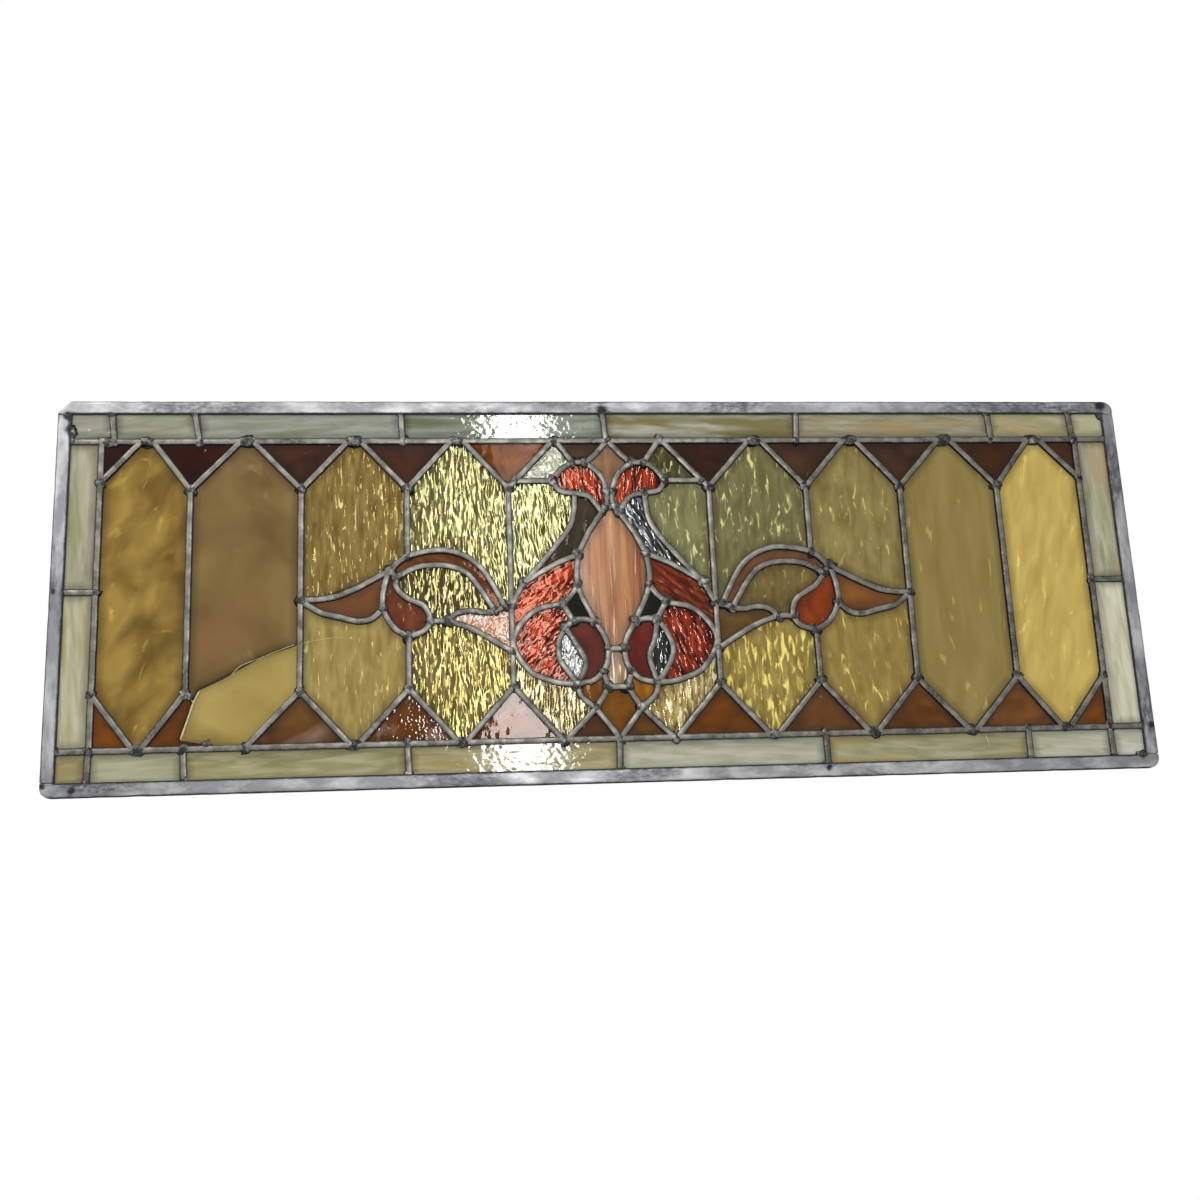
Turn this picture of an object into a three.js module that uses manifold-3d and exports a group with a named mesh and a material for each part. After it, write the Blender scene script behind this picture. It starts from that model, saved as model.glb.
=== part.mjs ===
// A leaded glass transom panel: a wide flat came round the edge, a border of opalescent
// strips, gabled panes between straight cames, and a winged ornament in the middle.
// Millimetres. X runs along the panel, Z up from its lower edge, and the front faces -Y.
import * as THREE from 'three';
import { mergeVertices } from 'three/addons/utils/BufferGeometryUtils.js';
import Module from 'manifold-3d';

const wasm = await Module();
wasm.setup();

// ---------------------------------------------------------------- driving sizes

const WIDTH = 1000;
const HEIGHT = 361;

const RIM_FACE = 12.7;        // half-inch flat came round the edge
const RIM_DEPTH = 6.6;
const RIM_WEB = 6;            // solid lead outside the rim came's groove
const RIM_CORNER = 9;         // radius of the hammered-over corners
const RIM_CHAMFER = 11;       // the upper left corner is clipped straight

const CAME_FACE = 5.5;
const CAME_DEPTH = 5.6;
const HEART = 1.5;            // web between the two grooves of a came
const GROOVE = 3.6;           // height of the groove the glass sits in
const GLASS = 3;
const SLACK = 0.3;            // glazing clearance all round the glass

const BORDER_TOP = 322;       // centre lines of the cames inside the border
const BORDER_BOTTOM = 39.5;
const BORDER_LEFT = -460.5;
const BORDER_RIGHT = 457.5;

const UPPER_JOINT = 275.5;    // where the upright cames meet the gables
const UPPER_END_JOINT = 283;
const LOWER_JOINT = 88.5;
const GABLE_GAP = 5.5;        // half the distance between two gable cames at the border
const FOOT_GAP = 3;
const INNER_GABLE = 50;       // the steep gables beside the middle
const INNER_GABLE_GAP = 1.5;
const WEB = 1.5;              // glass left between the triangles of a row, hidden in the came

const MID_POST = 94;          // upright beside the middle ornament
const WING_POST = 187;        // upright that the wing interrupts
const LEFT_POSTS = [BORDER_LEFT, -381, -282.5, -WING_POST, -MID_POST];
const RIGHT_POSTS = [MID_POST, WING_POST, 278.5, 374, BORDER_RIGHT];
const BROKEN_BAY = -381;      // the bay right of this post has lost the came at its lower left

// ---------------------------------------------------------------- making solids

// A closed geometry as a solid that can be joined and cut.
function solid(geometry) {
  geometry.deleteAttribute('normal');
  geometry.deleteAttribute('uv');
  const merged = mergeVertices(geometry, 1e-4);
  const mesh = new wasm.Mesh({
    numProp: 3,
    vertProperties: new Float32Array(merged.attributes.position.array),
    triVerts: new Uint32Array(merged.index.array),
  });
  return new wasm.Manifold(mesh);
}

// The same solid as a geometry again.
function geometryOf(body) {
  const mesh = body.getMesh();
  const geometry = new THREE.BufferGeometry();
  geometry.setAttribute('position', new THREE.Float32BufferAttribute(mesh.vertProperties, 3));
  geometry.setIndex(new THREE.Uint32BufferAttribute(mesh.triVerts, 1));
  return geometry;
}

// An outline in X and Z, given a depth along Y and centred on the panel.
function slab(outline, depth, ...holes) {
  const shape = new THREE.Shape(outline);
  shape.holes = holes.map((hole) => new THREE.Path(hole));
  const geometry = new THREE.ExtrudeGeometry(shape, { depth, bevelEnabled: false });
  geometry.rotateX(Math.PI / 2);
  geometry.translate(0, depth / 2, 0);
  return solid(geometry);
}

function block(left, right, bottom, top, depth) {
  const geometry = new THREE.BoxGeometry(right - left, depth, top - bottom);
  geometry.translate((left + right) / 2, 0, (bottom + top) / 2);
  return solid(geometry);
}

// A run of points widened evenly to both sides, with mitred bends. A run that ends where it
// starts becomes a ring, and any other has square ends.
function strip(path, width, depth) {
  const last = path.length - 1;
  const closed = path[0].equals(path[last]);
  const near = [];
  const far = [];
  path.forEach((point, i) => {
    const previous = path[i - 1] ?? (closed ? path[last - 1] : point);
    const next = path[i + 1] ?? (closed ? path[1] : point);
    const before = point.clone().sub(previous).normalize();
    const after = next.clone().sub(point).normalize();
    const along = before.clone().add(after).normalize();
    const reach = width / 2 / Math.max(along.dot(before), along.dot(after));
    const out = new THREE.Vector2(-along.y, along.x).multiplyScalar(reach);
    near.push(point.clone().add(out));
    far.unshift(point.clone().sub(out));
  });
  if (!closed) {
    return slab([...near, ...far], depth);
  }
  const size = (loop) => Math.abs(THREE.ShapeUtils.area(loop));
  const [hole, outline] = [near.slice(1), far.slice(1)].sort((a, b) => size(a) - size(b));
  return slab(outline, depth, hole);
}

function join(bodies) {
  return bodies.reduce((whole, body) => whole.add(body));
}

// The separate bodies inside one solid, found by walking over shared vertices.
function separate(body) {
  const mesh = body.getMesh();
  const parent = Array.from({ length: mesh.numVert }, (_, i) => i);
  const root = (i) => {
    while (parent[i] !== i) {
      parent[i] = parent[parent[i]];
      i = parent[i];
    }
    return i;
  };
  for (let i = 0; i < mesh.triVerts.length; i += 3) {
    parent[root(mesh.triVerts[i])] = root(mesh.triVerts[i + 1]);
    parent[root(mesh.triVerts[i + 1])] = root(mesh.triVerts[i + 2]);
  }
  const groups = new Map();
  for (let i = 0; i < mesh.triVerts.length; i += 3) {
    const key = root(mesh.triVerts[i]);
    groups.set(key, [...(groups.get(key) ?? []), ...mesh.triVerts.slice(i, i + 3)]);
  }
  return [...groups.values()].map((index) => {
    const geometry = new THREE.BufferGeometry();
    geometry.setAttribute('position', new THREE.Float32BufferAttribute(mesh.vertProperties, 3));
    geometry.setIndex(index);
    return solid(geometry.toNonIndexed());
  });
}

// Whether a point of the panel plane lies over a body, looked up in its front face.
function covers(body, spot) {
  const mesh = body.getMesh();
  const corner = (i) => new THREE.Vector3(...mesh.vertProperties.slice(3 * i, 3 * i + 3));
  const target = new THREE.Vector3(spot[0], 0, spot[1]);
  for (let i = 0; i < mesh.triVerts.length; i += 3) {
    const triangle = new THREE.Triangle(...[0, 1, 2].map((k) => corner(mesh.triVerts[i + k])));
    const facesFront = triangle.getNormal(new THREE.Vector3()).y < -0.9;
    target.y = triangle.a.y;
    if (facesFront && triangle.containsPoint(target)) {
      return true;
    }
  }
  return false;
}

// ---------------------------------------------------------------- lines of the cames

function line(...points) {
  return points.map(([x, z]) => new THREE.Vector2(x, z));
}

// A smooth curve through the given points, cut into straight steps.
function bend(steps, ...points) {
  return new THREE.SplineCurve(line(...points)).getPoints(steps);
}

function mirrored(points) {
  return points.map((point) => new THREE.Vector2(-point.x, point.y));
}

const INNER_POSTS = [...LEFT_POSTS.slice(1), ...RIGHT_POSTS.slice(0, -1)];

// Straight cames: the border's four, the uprights and the gables.
function straightCames() {
  const cames = [];
  const reach = WIDTH / 2;
  cames.push(line([-reach, BORDER_TOP], [reach, BORDER_TOP]));
  cames.push(line([-reach, BORDER_BOTTOM], [reach, BORDER_BOTTOM]));
  cames.push(line([BORDER_LEFT, BORDER_BOTTOM], [BORDER_LEFT, BORDER_TOP]));
  cames.push(line([BORDER_RIGHT, BORDER_BOTTOM], [BORDER_RIGHT, BORDER_TOP]));
  for (const x of INNER_POSTS.filter((post) => Math.abs(post) !== WING_POST)) {
    cames.push(line([x, LOWER_JOINT], [x, UPPER_JOINT]));
  }
  for (const posts of [LEFT_POSTS, RIGHT_POSTS]) {
    for (let i = 0; i + 1 < posts.length; i += 1) {
      cames.push(...bayCames(posts[i], posts[i + 1]));
    }
  }
  return cames;
}

// The gable over a bay between two uprights, and the inverted gable under it.
function bayCames(left, right) {
  const middle = (left + right) / 2;
  const leftTop = left === BORDER_LEFT ? UPPER_END_JOINT : UPPER_JOINT;
  const rightTop = right === BORDER_RIGHT ? UPPER_END_JOINT : UPPER_JOINT;
  const cames = [
    line([left, leftTop], [middle - GABLE_GAP, BORDER_TOP]),
    line([middle + GABLE_GAP, BORDER_TOP], [right, rightTop]),
    line([middle + FOOT_GAP, BORDER_BOTTOM], [right, LOWER_JOINT]),
  ];
  if (left !== BROKEN_BAY) {
    cames.push(line([left, LOWER_JOINT], [middle - FOOT_GAP, BORDER_BOTTOM]));
  }
  return cames;
}

// The right half of the middle ornament, from the gable down to the foot.
const CAP_PEAK = [22, 300.5];
const CAP_TIP = [52, 282.5];
const HORN_TIP = [83, 184];
const SPINDLE_UPPER = [31.5, 211];
const SPINDLE_LOWER = [33, 181.5];
const SPINDLE_FOOT = [18.5, 147.5];
const SIDE_NODE = [MID_POST, 163];
const EYE_TOP = [38.5, 148.5];
const LOBE_FOOT = [36.5, 90];
const DIAMOND_SIDE = [21, 67.5];
const AMBER_TOP = [13, 101];

function ornamentHalf() {
  return [
    line([INNER_GABLE + INNER_GABLE_GAP, BORDER_TOP], [MID_POST, UPPER_JOINT]),
    line([INNER_GABLE - INNER_GABLE_GAP, BORDER_TOP], [33.5, 300]),
    line([0, BORDER_TOP], [14, 306.5], CAP_PEAK),
    line(CAP_PEAK, [33.5, 300], [44, 294], CAP_TIP),
    line(CAP_TIP, [47, 273], [32.5, 270], [19, 266.5], [8, 251.5]),
    line(CAP_TIP, [87.6, 282.5]),
    // the long came: down the cap, round the spindle and under the dark lobe
    line(CAP_PEAK, [8, 288], [3, 272], [3, 259], [8, 251.5], [21, 232], SPINDLE_UPPER),
    bend(4, SPINDLE_UPPER, SPINDLE_LOWER, SPINDLE_FOOT),
    line(SPINDLE_FOOT, [10, 132.5], [7.5, 121.5], [8.5, 110.5], AMBER_TOP, [22, 93], LOBE_FOOT),
    // the horn and the red leaf under it
    bend(4, [32.5, 270], [37, 241], [58, 212], HORN_TIP),
    line(HORN_TIP, SIDE_NODE),
    bend(3, SPINDLE_UPPER, [54, 201.5], HORN_TIP),
    // the red lobe, its neck, and the top of the dark lobe
    line(SPINDLE_LOWER, [39, 173], [47.5, 164.5]),
    bend(8, [47.5, 164.5], [74, 157.5], [93.5, 131], [80, 103.5], [56, 92], LOBE_FOOT),
    line([47.5, 164.5], EYE_TOP),
    line(EYE_TOP, [30, 149.8], SPINDLE_FOOT),
    // the amber piece beside the diamond
    line(AMBER_TOP, [9, 86.5]),
    line(LOBE_FOOT, [33.5, 78.5], DIAMOND_SIDE),
    line([INNER_GABLE - FOOT_GAP / 2, BORDER_BOTTOM], DIAMOND_SIDE, [9, 86.5]),
    line([INNER_GABLE + FOOT_GAP / 2, BORDER_BOTTOM], [MID_POST, LOWER_JOINT]),
    line([0, BORDER_BOTTOM], DIAMOND_SIDE),
  ];
}

// Short bars across the middle line: the tip of the top piece, the spindle's two ends, the foot.
function crossBars() {
  return [
    line([-3, 272], [3, 272]),
    line([-4.5, 257], [4.5, 257]),
    line([-7.5, 122], [7.5, 122]),
    line([-9, 86.5], [9, 86.5]),
  ];
}

// The two eyes differ: the right one stands upright and the left one leans inward at its foot.
function rightEye() {
  return [
    line(EYE_TOP, [46.5, 137.5], [52, 121.5], [47.5, 106], LOBE_FOOT),
    line(EYE_TOP, [35.5, 130.5], [30, 113], LOBE_FOOT),
  ];
}

function leftEye() {
  const top = [46, 141.5];
  return [
    line(EYE_TOP, top),
    line(top, [52, 129], [52, 113.5], [45.5, 102.5], LOBE_FOOT),
    line(top, [36.5, 126.5], [28.5, 108.5], LOBE_FOOT),
  ].map(mirrored);
}

// The right wing: an outer leaf, a teardrop, an arch and an inner leaf joined by a short link.
function wing(outerPost) {
  const crown = [203.5, 197.5];
  const arm = [198, 191];
  const knee = [209.2, 162.5];
  const tearFoot = [186.5, 136];
  const archFoot = [109, 158.5];
  const leafTip = [151, 150];
  return [
    bend(3, [outerPost, 171], [248, 175], crown),
    bend(4, [outerPost, 171], [266, 159.5], [247, 155], [231, 151], [219, 153.5], knee),
    line(tearFoot, [172, 141], [166, 156], [175, 170], arm, crown, [208.3, 182], knee, [200, 145], tearFoot),
    bend(6, crown, [185, 212], [150, 216], [121, 200.5], [100, 162.5]),
    bend(4, arm, [172, 202], [136, 196], archFoot),
    line(leafTip, [144, 157], [131, 159.3], [119, 157.3], archFoot),
    line(archFoot, [100, 162.5], SIDE_NODE),
    bend(3, leafTip, [127.5, 141], [MID_POST, 120.5]),
    line(leafTip, [167, 150]),
    line([WING_POST, 211], [WING_POST, UPPER_JOINT]),
    line(tearFoot, [WING_POST, LOWER_JOINT]),
  ];
}

// Cross cames over the border glass, each as its ends at the rim and at the inner came.
const TOP_CROSSES = [
  [-452.5, -449.5],
  [-379, -374],
  [-192, -190.5],
  [-4, -1],
  [183, 181.5],
  [372, 374],
  [454, 456],
];
const FOOT_CROSSES = [
  [-461.5, -461],
  [-380, -381.5],
  [-187.5, -188.5],
  [-1.5, -1],
  [188, 187.5],
  [378, 378],
  [457.5, 457],
];
const SIDE_CROSS = 181;

function borderCrosses() {
  return [
    ...TOP_CROSSES.map(([rim, inner]) => line([rim, HEIGHT], [inner, BORDER_TOP])),
    ...FOOT_CROSSES.map(([rim, inner]) => line([rim, 0], [inner, BORDER_BOTTOM])),
    line([-WIDTH / 2, SIDE_CROSS], [BORDER_LEFT, SIDE_CROSS]),
    line([BORDER_RIGHT, SIDE_CROSS], [WIDTH / 2, SIDE_CROSS]),
  ];
}

// The break in the second pane: an arc-shaped crack, the lower shard's cut edge down its left
// side and along its foot, and the scar where the broken came used to run.
const CRACK = line([-369, 91], [-350, 100], [-318, 118.5], [-282.5, 131]);
const SHARD_EDGE = line([-369, 91], [-373, 82], [-379, 63], [-384, 47.5], [-362, 43.3], [-358, 39.5]);
const SCAR = line([-381, 89], [-373.6, 80.5]);

const rightHalf = ornamentHalf();
const NETWORK = [
  ...straightCames(),
  ...rightHalf,
  ...rightHalf.map(mirrored),
  ...crossBars(),
  ...rightEye(),
  ...leftEye(),
  ...wing(RIGHT_POSTS[2]),
  ...wing(-LEFT_POSTS[2]).map(mirrored),
];

// ---------------------------------------------------------------- glass

// The whole panel as one flat sheet, set in from its edges.
function sheet(margin, depth) {
  const reach = WIDTH / 2 - margin;
  return block(-reach, reach, margin, HEIGHT - margin, depth);
}

const groovedSheet = sheet(RIM_WEB, GROOVE);
const glassSheet = sheet(RIM_WEB + SLACK, GLASS);

const grooveHearts = NETWORK.map((path) => strip(path, HEART, CAME_DEPTH));
const glassHearts = NETWORK.map((path) => strip(path, HEART + 2 * SLACK, CAME_DEPTH));
const breaks = [CRACK, SCAR, SHARD_EDGE].map((path) => strip(path, SLACK, CAME_DEPTH));

const grooves = separate(groovedSheet.subtract(join(grooveHearts)));
const pieces = separate(glassSheet.subtract(join([...glassHearts, ...breaks])));

// The triangles of a row hang together by a thin web inside the border came's groove.
const webTop = BORDER_TOP - HEART / 2 - SLACK;
const webFoot = BORDER_BOTTOM + HEART / 2 + SLACK;
const webEnd = HEART / 2 + SLACK;

function web(left, right, edge, inward, room) {
  const near = edge - inward * room;
  const deep = edge + inward * (WEB + room);
  const depth = GLASS + 2 * room;
  return block(left - room, right + room, Math.min(near, deep), Math.max(near, deep), depth);
}

const WEBS = {
  top_row: [BORDER_LEFT + webEnd, BORDER_RIGHT - webEnd, webTop, -1],
  foot_row: [BORDER_LEFT + webEnd, BORDER_RIGHT - webEnd, webFoot, 1],
};

// Colours as they look with light behind the glass.
const PEARL = '#a9ab93';
const OXBLOOD = '#3f211c';
const CHESTNUT = '#5d3519';
const AMBER = '#8b4f16';
const OLIVE_GOLD = '#8f7a3e';
const GOLD = '#b59c52';
const STRAW = '#a39a5b';
const RED = '#b93a22';
const WINE = '#6b2a28';
const TAN = '#bd8458';
const SMOKE = '#3d3b35';
const BOTTLE = '#15180f';

// Each piece of glass by a spot that it covers: name, colour and the spot in X and Z.
const mirroredGlass = [
  ['gable_pane', STRAW, 55, 295],
  ['horn_pane', STRAW, 80, 240],
  ['foot_pane', OLIVE_GOLD, 62, 75],
  ['red_cap', RED, 38, 285],
  ['horn', SMOKE, 45, 220],
  ['red_leaf', RED, 60, 180],
  ['corner_piece', BOTTLE, 35, 162],
  ['red_lobe', RED, 70, 125],
  ['wine_lobe', WINE, 20, 120],
  ['amber_piece', AMBER, 22, 82],
  ['arch', CHESTNUT, 150, 209],
  ['teardrop', RED, 188, 155],
  ['outer_leaf', CHESTNUT, 240, 165],
  ['inner_leaf', TAN, 118, 147],
  ['over_arch_pane', OLIVE_GOLD, 130, 240],
  ['in_arch_pane', OLIVE_GOLD, 150, 180],
  ['under_arch_pane', GOLD, 140, 110],
  ['over_leaf_pane', OLIVE_GOLD, 235, 240],
  ['under_leaf_pane', GOLD, 235, 110],
];

const singleGlass = [
  ['pane_far_left', OLIVE_GOLD, -420, 180],
  ['cracked_pane', CHESTNUT, -330, 200],
  ['slipped_shard', GOLD, -330, 70],
  ['pane_right', GOLD, 326, 180],
  ['pane_far_right', GOLD, 415, 180],
  ['left_eye', SMOKE, -41, 118],
  ['right_eye', SMOKE, 41, 118],
  ['peak_piece', TAN, 0, 295],
  ['spindle', TAN, 0, 190],
  ['spindle_foot', TAN, 0, 105],
  ['diamond', AMBER, 0, 65],
];

const borderGlass = [
  ['border_glass_top', PEARL, 0, 335],
  ['border_glass_foot', PEARL, 0, 25],
  ['border_glass_left', PEARL, -475, 180],
  ['border_glass_right', PEARL, 475, 180],
];

const topTips = [...INNER_POSTS.map((x) => [x, 310]), [-455, 315], [-25, 317], [25, 317], [452, 315]];
const footTips = [...INNER_POSTS.slice(1).map((x) => [x, 55]), [-395, 47], [-455, 50], [-25, 46]];
const rowGlass = {
  top_row: [OXBLOOD, ...topTips],
  foot_row: [CHESTNUT, ...footTips, [25, 46], [452, 50]],
};

const panel = new THREE.Group();
const openings = new Set();

function addPiece(name, body, colour, roughness, metalness) {
  const material = new THREE.MeshStandardMaterial({ color: colour, roughness, metalness });
  const mesh = new THREE.Mesh(geometryOf(body), material);
  mesh.name = name;
  panel.add(mesh);
}

// The piece of glass over a spot, with its groove noted so that the lead is opened for it.
function glassAt(spot, name) {
  const piece = pieces.find((body) => covers(body, spot));
  const groove = grooves.find((body) => covers(body, spot));
  if (!piece || !groove) {
    throw new Error(`no glass at ${spot} for ${name}`);
  }
  openings.add(groove);
  return piece;
}

// A pane is cut back where the web of a row passes its tip.
function clearOfWebs(body) {
  return Object.values(WEBS).reduce((rest, span) => rest.subtract(web(...span, SLACK)), body);
}

for (const [name, colour, x, z] of mirroredGlass) {
  addPiece(`left_${name}`, clearOfWebs(glassAt([-x, z], name)), colour, 0.15, 0);
  addPiece(`right_${name}`, clearOfWebs(glassAt([x, z], name)), colour, 0.15, 0);
}
for (const [name, colour, x, z] of singleGlass) {
  addPiece(name, clearOfWebs(glassAt([x, z], name)), colour, 0.15, 0);
}
for (const [name, colour, x, z] of borderGlass) {
  addPiece(name, glassAt([x, z], name), colour, 0.3, 0);
}
for (const [name, [colour, ...spots]] of Object.entries(rowGlass)) {
  const triangles = spots.map((spot) => glassAt(spot, name));
  addPiece(name, join([...triangles, web(...WEBS[name], 0)]), colour, 0.2, 0);
}

// ---------------------------------------------------------------- lead

const LEAD = '#8d8c90';

// The soldered network of cames: full strips, opened where the glass and the webs sit.
const bars = [...NETWORK, ...borderCrosses()].map((path) => strip(path, CAME_FACE, CAME_DEPTH));
const inside = RIM_FACE + SLACK;
const field = sheet(inside, CAME_DEPTH);
const webRoom = join(Object.values(WEBS).map((span) => web(...span, SLACK)));
const opened = join(bars).intersect(field).subtract(join([...openings])).subtract(webRoom);
// Crumbs of heart cut off where came ends meet are dropped with all but the largest body.
const [network] = separate(opened).sort((a, b) => b.volume() - a.volume());
addPiece('came_network', network, LEAD, 0.5, 0.6);

// The rim came is four lengths. The upper and lower ones run right across, with shaped corners.
function cornerPoints(x, z, inwardX, inwardZ, radius) {
  const centre = new THREE.Vector2(x + inwardX * radius, z + inwardZ * radius);
  const points = [];
  for (let i = 0; i <= 4; i += 1) {
    const turn = (i / 4) * (Math.PI / 2);
    const across = new THREE.Vector2(-inwardX * Math.cos(turn), -inwardZ * Math.sin(turn));
    points.push(across.multiplyScalar(radius).add(centre));
  }
  return points;
}

const half = WIDTH / 2;

function rimAcross(edge, inward, corners) {
  const innerEdge = edge + inward * RIM_FACE;
  const outline = [...line([half, innerEdge], [-half, innerEdge]), ...corners];
  const bar = slab(outline, RIM_DEPTH);
  const grooveFloor = edge + inward * RIM_WEB;
  const pastEdge = innerEdge + inward;
  const grooveFoot = Math.min(grooveFloor, pastEdge);
  const grooveTop = Math.max(grooveFloor, pastEdge);
  return bar.subtract(block(-half + RIM_WEB, half - RIM_WEB, grooveFoot, grooveTop, GROOVE));
}

const clipped = line([-half, HEIGHT - RIM_CHAMFER], [-half + RIM_CHAMFER, HEIGHT]);
const upperRight = cornerPoints(half, HEIGHT, -1, -1, RIM_CORNER).reverse();
const lowerLeft = cornerPoints(-half, 0, 1, 1, RIM_CORNER);
const lowerRight = cornerPoints(half, 0, -1, 1, RIM_CORNER).reverse();
addPiece('rim_came_top', rimAcross(HEIGHT, -1, [...clipped, ...upperRight]), LEAD, 0.45, 0.6);
addPiece('rim_came_foot', rimAcross(0, 1, [...lowerLeft, ...lowerRight]), LEAD, 0.45, 0.6);

function rimSide(edge, inward) {
  const innerEdge = edge + inward * RIM_FACE;
  const grooveFloor = edge + inward * RIM_WEB;
  const pastEdge = innerEdge + inward;
  const left = Math.min(edge, innerEdge);
  const bar = block(left, left + RIM_FACE, inside, HEIGHT - inside, RIM_DEPTH);
  const grooveLeft = Math.min(grooveFloor, pastEdge);
  const grooveRight = Math.max(grooveFloor, pastEdge);
  return bar.subtract(block(grooveLeft, grooveRight, 0, HEIGHT, GROOVE));
}

addPiece('rim_came_left', rimSide(-half, 1), LEAD, 0.45, 0.6);
addPiece('rim_came_right', rimSide(half, -1), LEAD, 0.45, 0.6);

export default panel;
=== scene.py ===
import math
import random

import bmesh
import bpy
import numpy as np
from mathutils import Matrix, Quaternion, Vector, noise


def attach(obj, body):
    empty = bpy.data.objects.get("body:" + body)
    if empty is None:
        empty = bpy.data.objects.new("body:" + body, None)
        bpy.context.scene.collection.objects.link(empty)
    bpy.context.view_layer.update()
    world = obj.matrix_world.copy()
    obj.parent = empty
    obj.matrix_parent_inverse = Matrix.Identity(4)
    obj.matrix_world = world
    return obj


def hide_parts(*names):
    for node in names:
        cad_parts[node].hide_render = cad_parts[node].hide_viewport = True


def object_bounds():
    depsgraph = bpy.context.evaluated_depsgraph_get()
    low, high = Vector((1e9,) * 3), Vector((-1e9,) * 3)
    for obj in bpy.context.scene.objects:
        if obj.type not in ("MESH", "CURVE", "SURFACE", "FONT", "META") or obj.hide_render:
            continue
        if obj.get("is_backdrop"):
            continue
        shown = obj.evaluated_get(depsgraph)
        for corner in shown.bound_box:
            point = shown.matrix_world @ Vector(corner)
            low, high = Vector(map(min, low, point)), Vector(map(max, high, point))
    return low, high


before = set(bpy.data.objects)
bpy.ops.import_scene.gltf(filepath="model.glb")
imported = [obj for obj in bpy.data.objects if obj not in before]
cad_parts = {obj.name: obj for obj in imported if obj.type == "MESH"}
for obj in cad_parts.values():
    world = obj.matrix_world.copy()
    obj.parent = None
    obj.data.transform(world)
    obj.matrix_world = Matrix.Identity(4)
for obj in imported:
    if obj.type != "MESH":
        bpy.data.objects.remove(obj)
cad_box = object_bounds()

# ---------------------------------------------------------------- the studio
# The panel hangs free over a pale floor, in front of a pale surround that shows through the
# glass. A tall narrow lamp stands in front, so its reflection runs down the glass left of the
# middle, and broad soft lamps light the lead from the upper left and from behind.

scene = bpy.context.scene
scene.view_settings.view_transform = "Standard"

EYE = Vector((-0.16541, -1.31767, -0.17450))
AIM = Vector((-0.01294, 0, 0.16790))
CAMERA_ROLL = -2.487
LENS = 44.95


def add_object(name, data):
    """A new object of the scene that holds the data."""
    thing = bpy.data.objects.new(name, data)
    scene.collection.objects.link(thing)
    return thing


camera = add_object("camera", bpy.data.cameras.new("camera"))
scene.camera = camera
camera.data.lens = LENS
camera.data.sensor_width = 36
camera.location = EYE
camera.rotation_mode = "QUATERNION"
level = (AIM - EYE).to_track_quat("-Z", "Y")
camera.rotation_quaternion = level @ Quaternion((0, 0, 1), math.radians(CAMERA_ROLL))

LAMPS = {
    # name: place, aim, width and height in metres, power in watts
    "tall_lamp": ((-0.005, -1.33, 0.56), (-0.005, 0, 0.56), 0.12, 0.74, 7.5),
    "soft_lamp": ((-1.3, -1.6, 1.7), (0, 0, 0.18), 1.2, 1.0, 30),
    "back_lamp": ((0.9, 1.7, 1.5), (0, 0, 0.18), 1.2, 1.0, 22),
}
for name, (place, aim, width, height, power) in LAMPS.items():
    lamp = add_object(name, bpy.data.lights.new(name, "AREA"))
    lamp.data.shape = "RECTANGLE"
    lamp.data.size = width
    lamp.data.size_y = height
    lamp.data.energy = power
    lamp.location = place
    lamp.rotation_mode = "QUATERNION"
    lamp.rotation_quaternion = (Vector(aim) - Vector(place)).to_track_quat("-Z", "Y")
    lamp.visible_camera = False
    lamp.visible_transmission = False

SURROUND_SEEN = 1.0
SURROUND_MIRRORED = 0.22
SURROUND_ON_MATT = 0.5


def add_node(tree, kind, values=None, **settings):
    """A node in the tree. A value that is a socket is linked, and any other is set."""
    node = tree.nodes.new("ShaderNode" + kind)
    for key, value in settings.items():
        setattr(node, key, value)
    for key, value in (values or {}).items():
        if isinstance(value, bpy.types.NodeSocket):
            tree.links.new(value, node.inputs[key])
        else:
            node.inputs[key].default_value = value
    return node


def number(tree, operation, first, second):
    """The result of one sum on two numbers or sockets."""
    return add_node(tree, "Math", {0: first, 1: second}, operation=operation).outputs[0]


def spread(tree, value, low, high, to_low=0.0, to_high=1.0):
    """A value stretched from one range to another and held inside it."""
    values = {0: value, 1: low, 2: high, 3: to_low, 4: to_high}
    return add_node(tree, "MapRange", values, clamp=True).outputs[0]


world = bpy.data.worlds.new("surround")
scene.world = world
world.use_nodes = True
tree = world.node_tree
rays = add_node(tree, "LightPath").outputs
mirrored = number(tree, "GREATER_THAN", rays["Is Glossy Ray"], rays["Is Transmission Ray"])
strength = spread(tree, mirrored, 0, 1, SURROUND_SEEN, SURROUND_MIRRORED)
strength = spread(tree, rays["Is Diffuse Ray"], 0, 1, strength, SURROUND_ON_MATT)
background = tree.nodes["Background"]
tree.links.new(strength, background.inputs["Strength"])
background.inputs["Color"].default_value = (1, 1, 1, 1)

FLOOR_LEVEL = -0.95
floor_mesh = bpy.data.meshes.new("floor")
bm = bmesh.new()
bmesh.ops.create_circle(bm, cap_ends=True, segments=96, radius=2.3)
bmesh.ops.translate(bm, verts=bm.verts, vec=(0, 0, FLOOR_LEVEL))
bm.to_mesh(floor_mesh)
bm.free()
floor = add_object("floor", floor_mesh)
floor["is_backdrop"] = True


def new_material(name):
    """A new material, its node tree and the sockets of its shader."""
    material = bpy.data.materials.new(name)
    material.use_nodes = True
    tree = material.node_tree
    return material, tree, tree.nodes["Principled BSDF"].inputs


pale_floor, tree, shader = new_material("pale_floor")
shader["Base Color"].default_value = (0.86, 0.86, 0.85, 1)
shader["Roughness"].default_value = 0.9
floor_mesh.materials.append(pale_floor)

# ---------------------------------------------------------------- the rim came
# Four lengths of half-inch flat lead came close the panel in. The upper and lower ones run
# right across and the sides butt against them. The lead is soft, so its edges are rounded and
# dented, and it has weathered to a pale grey with lilac and dark blotches.

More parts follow.
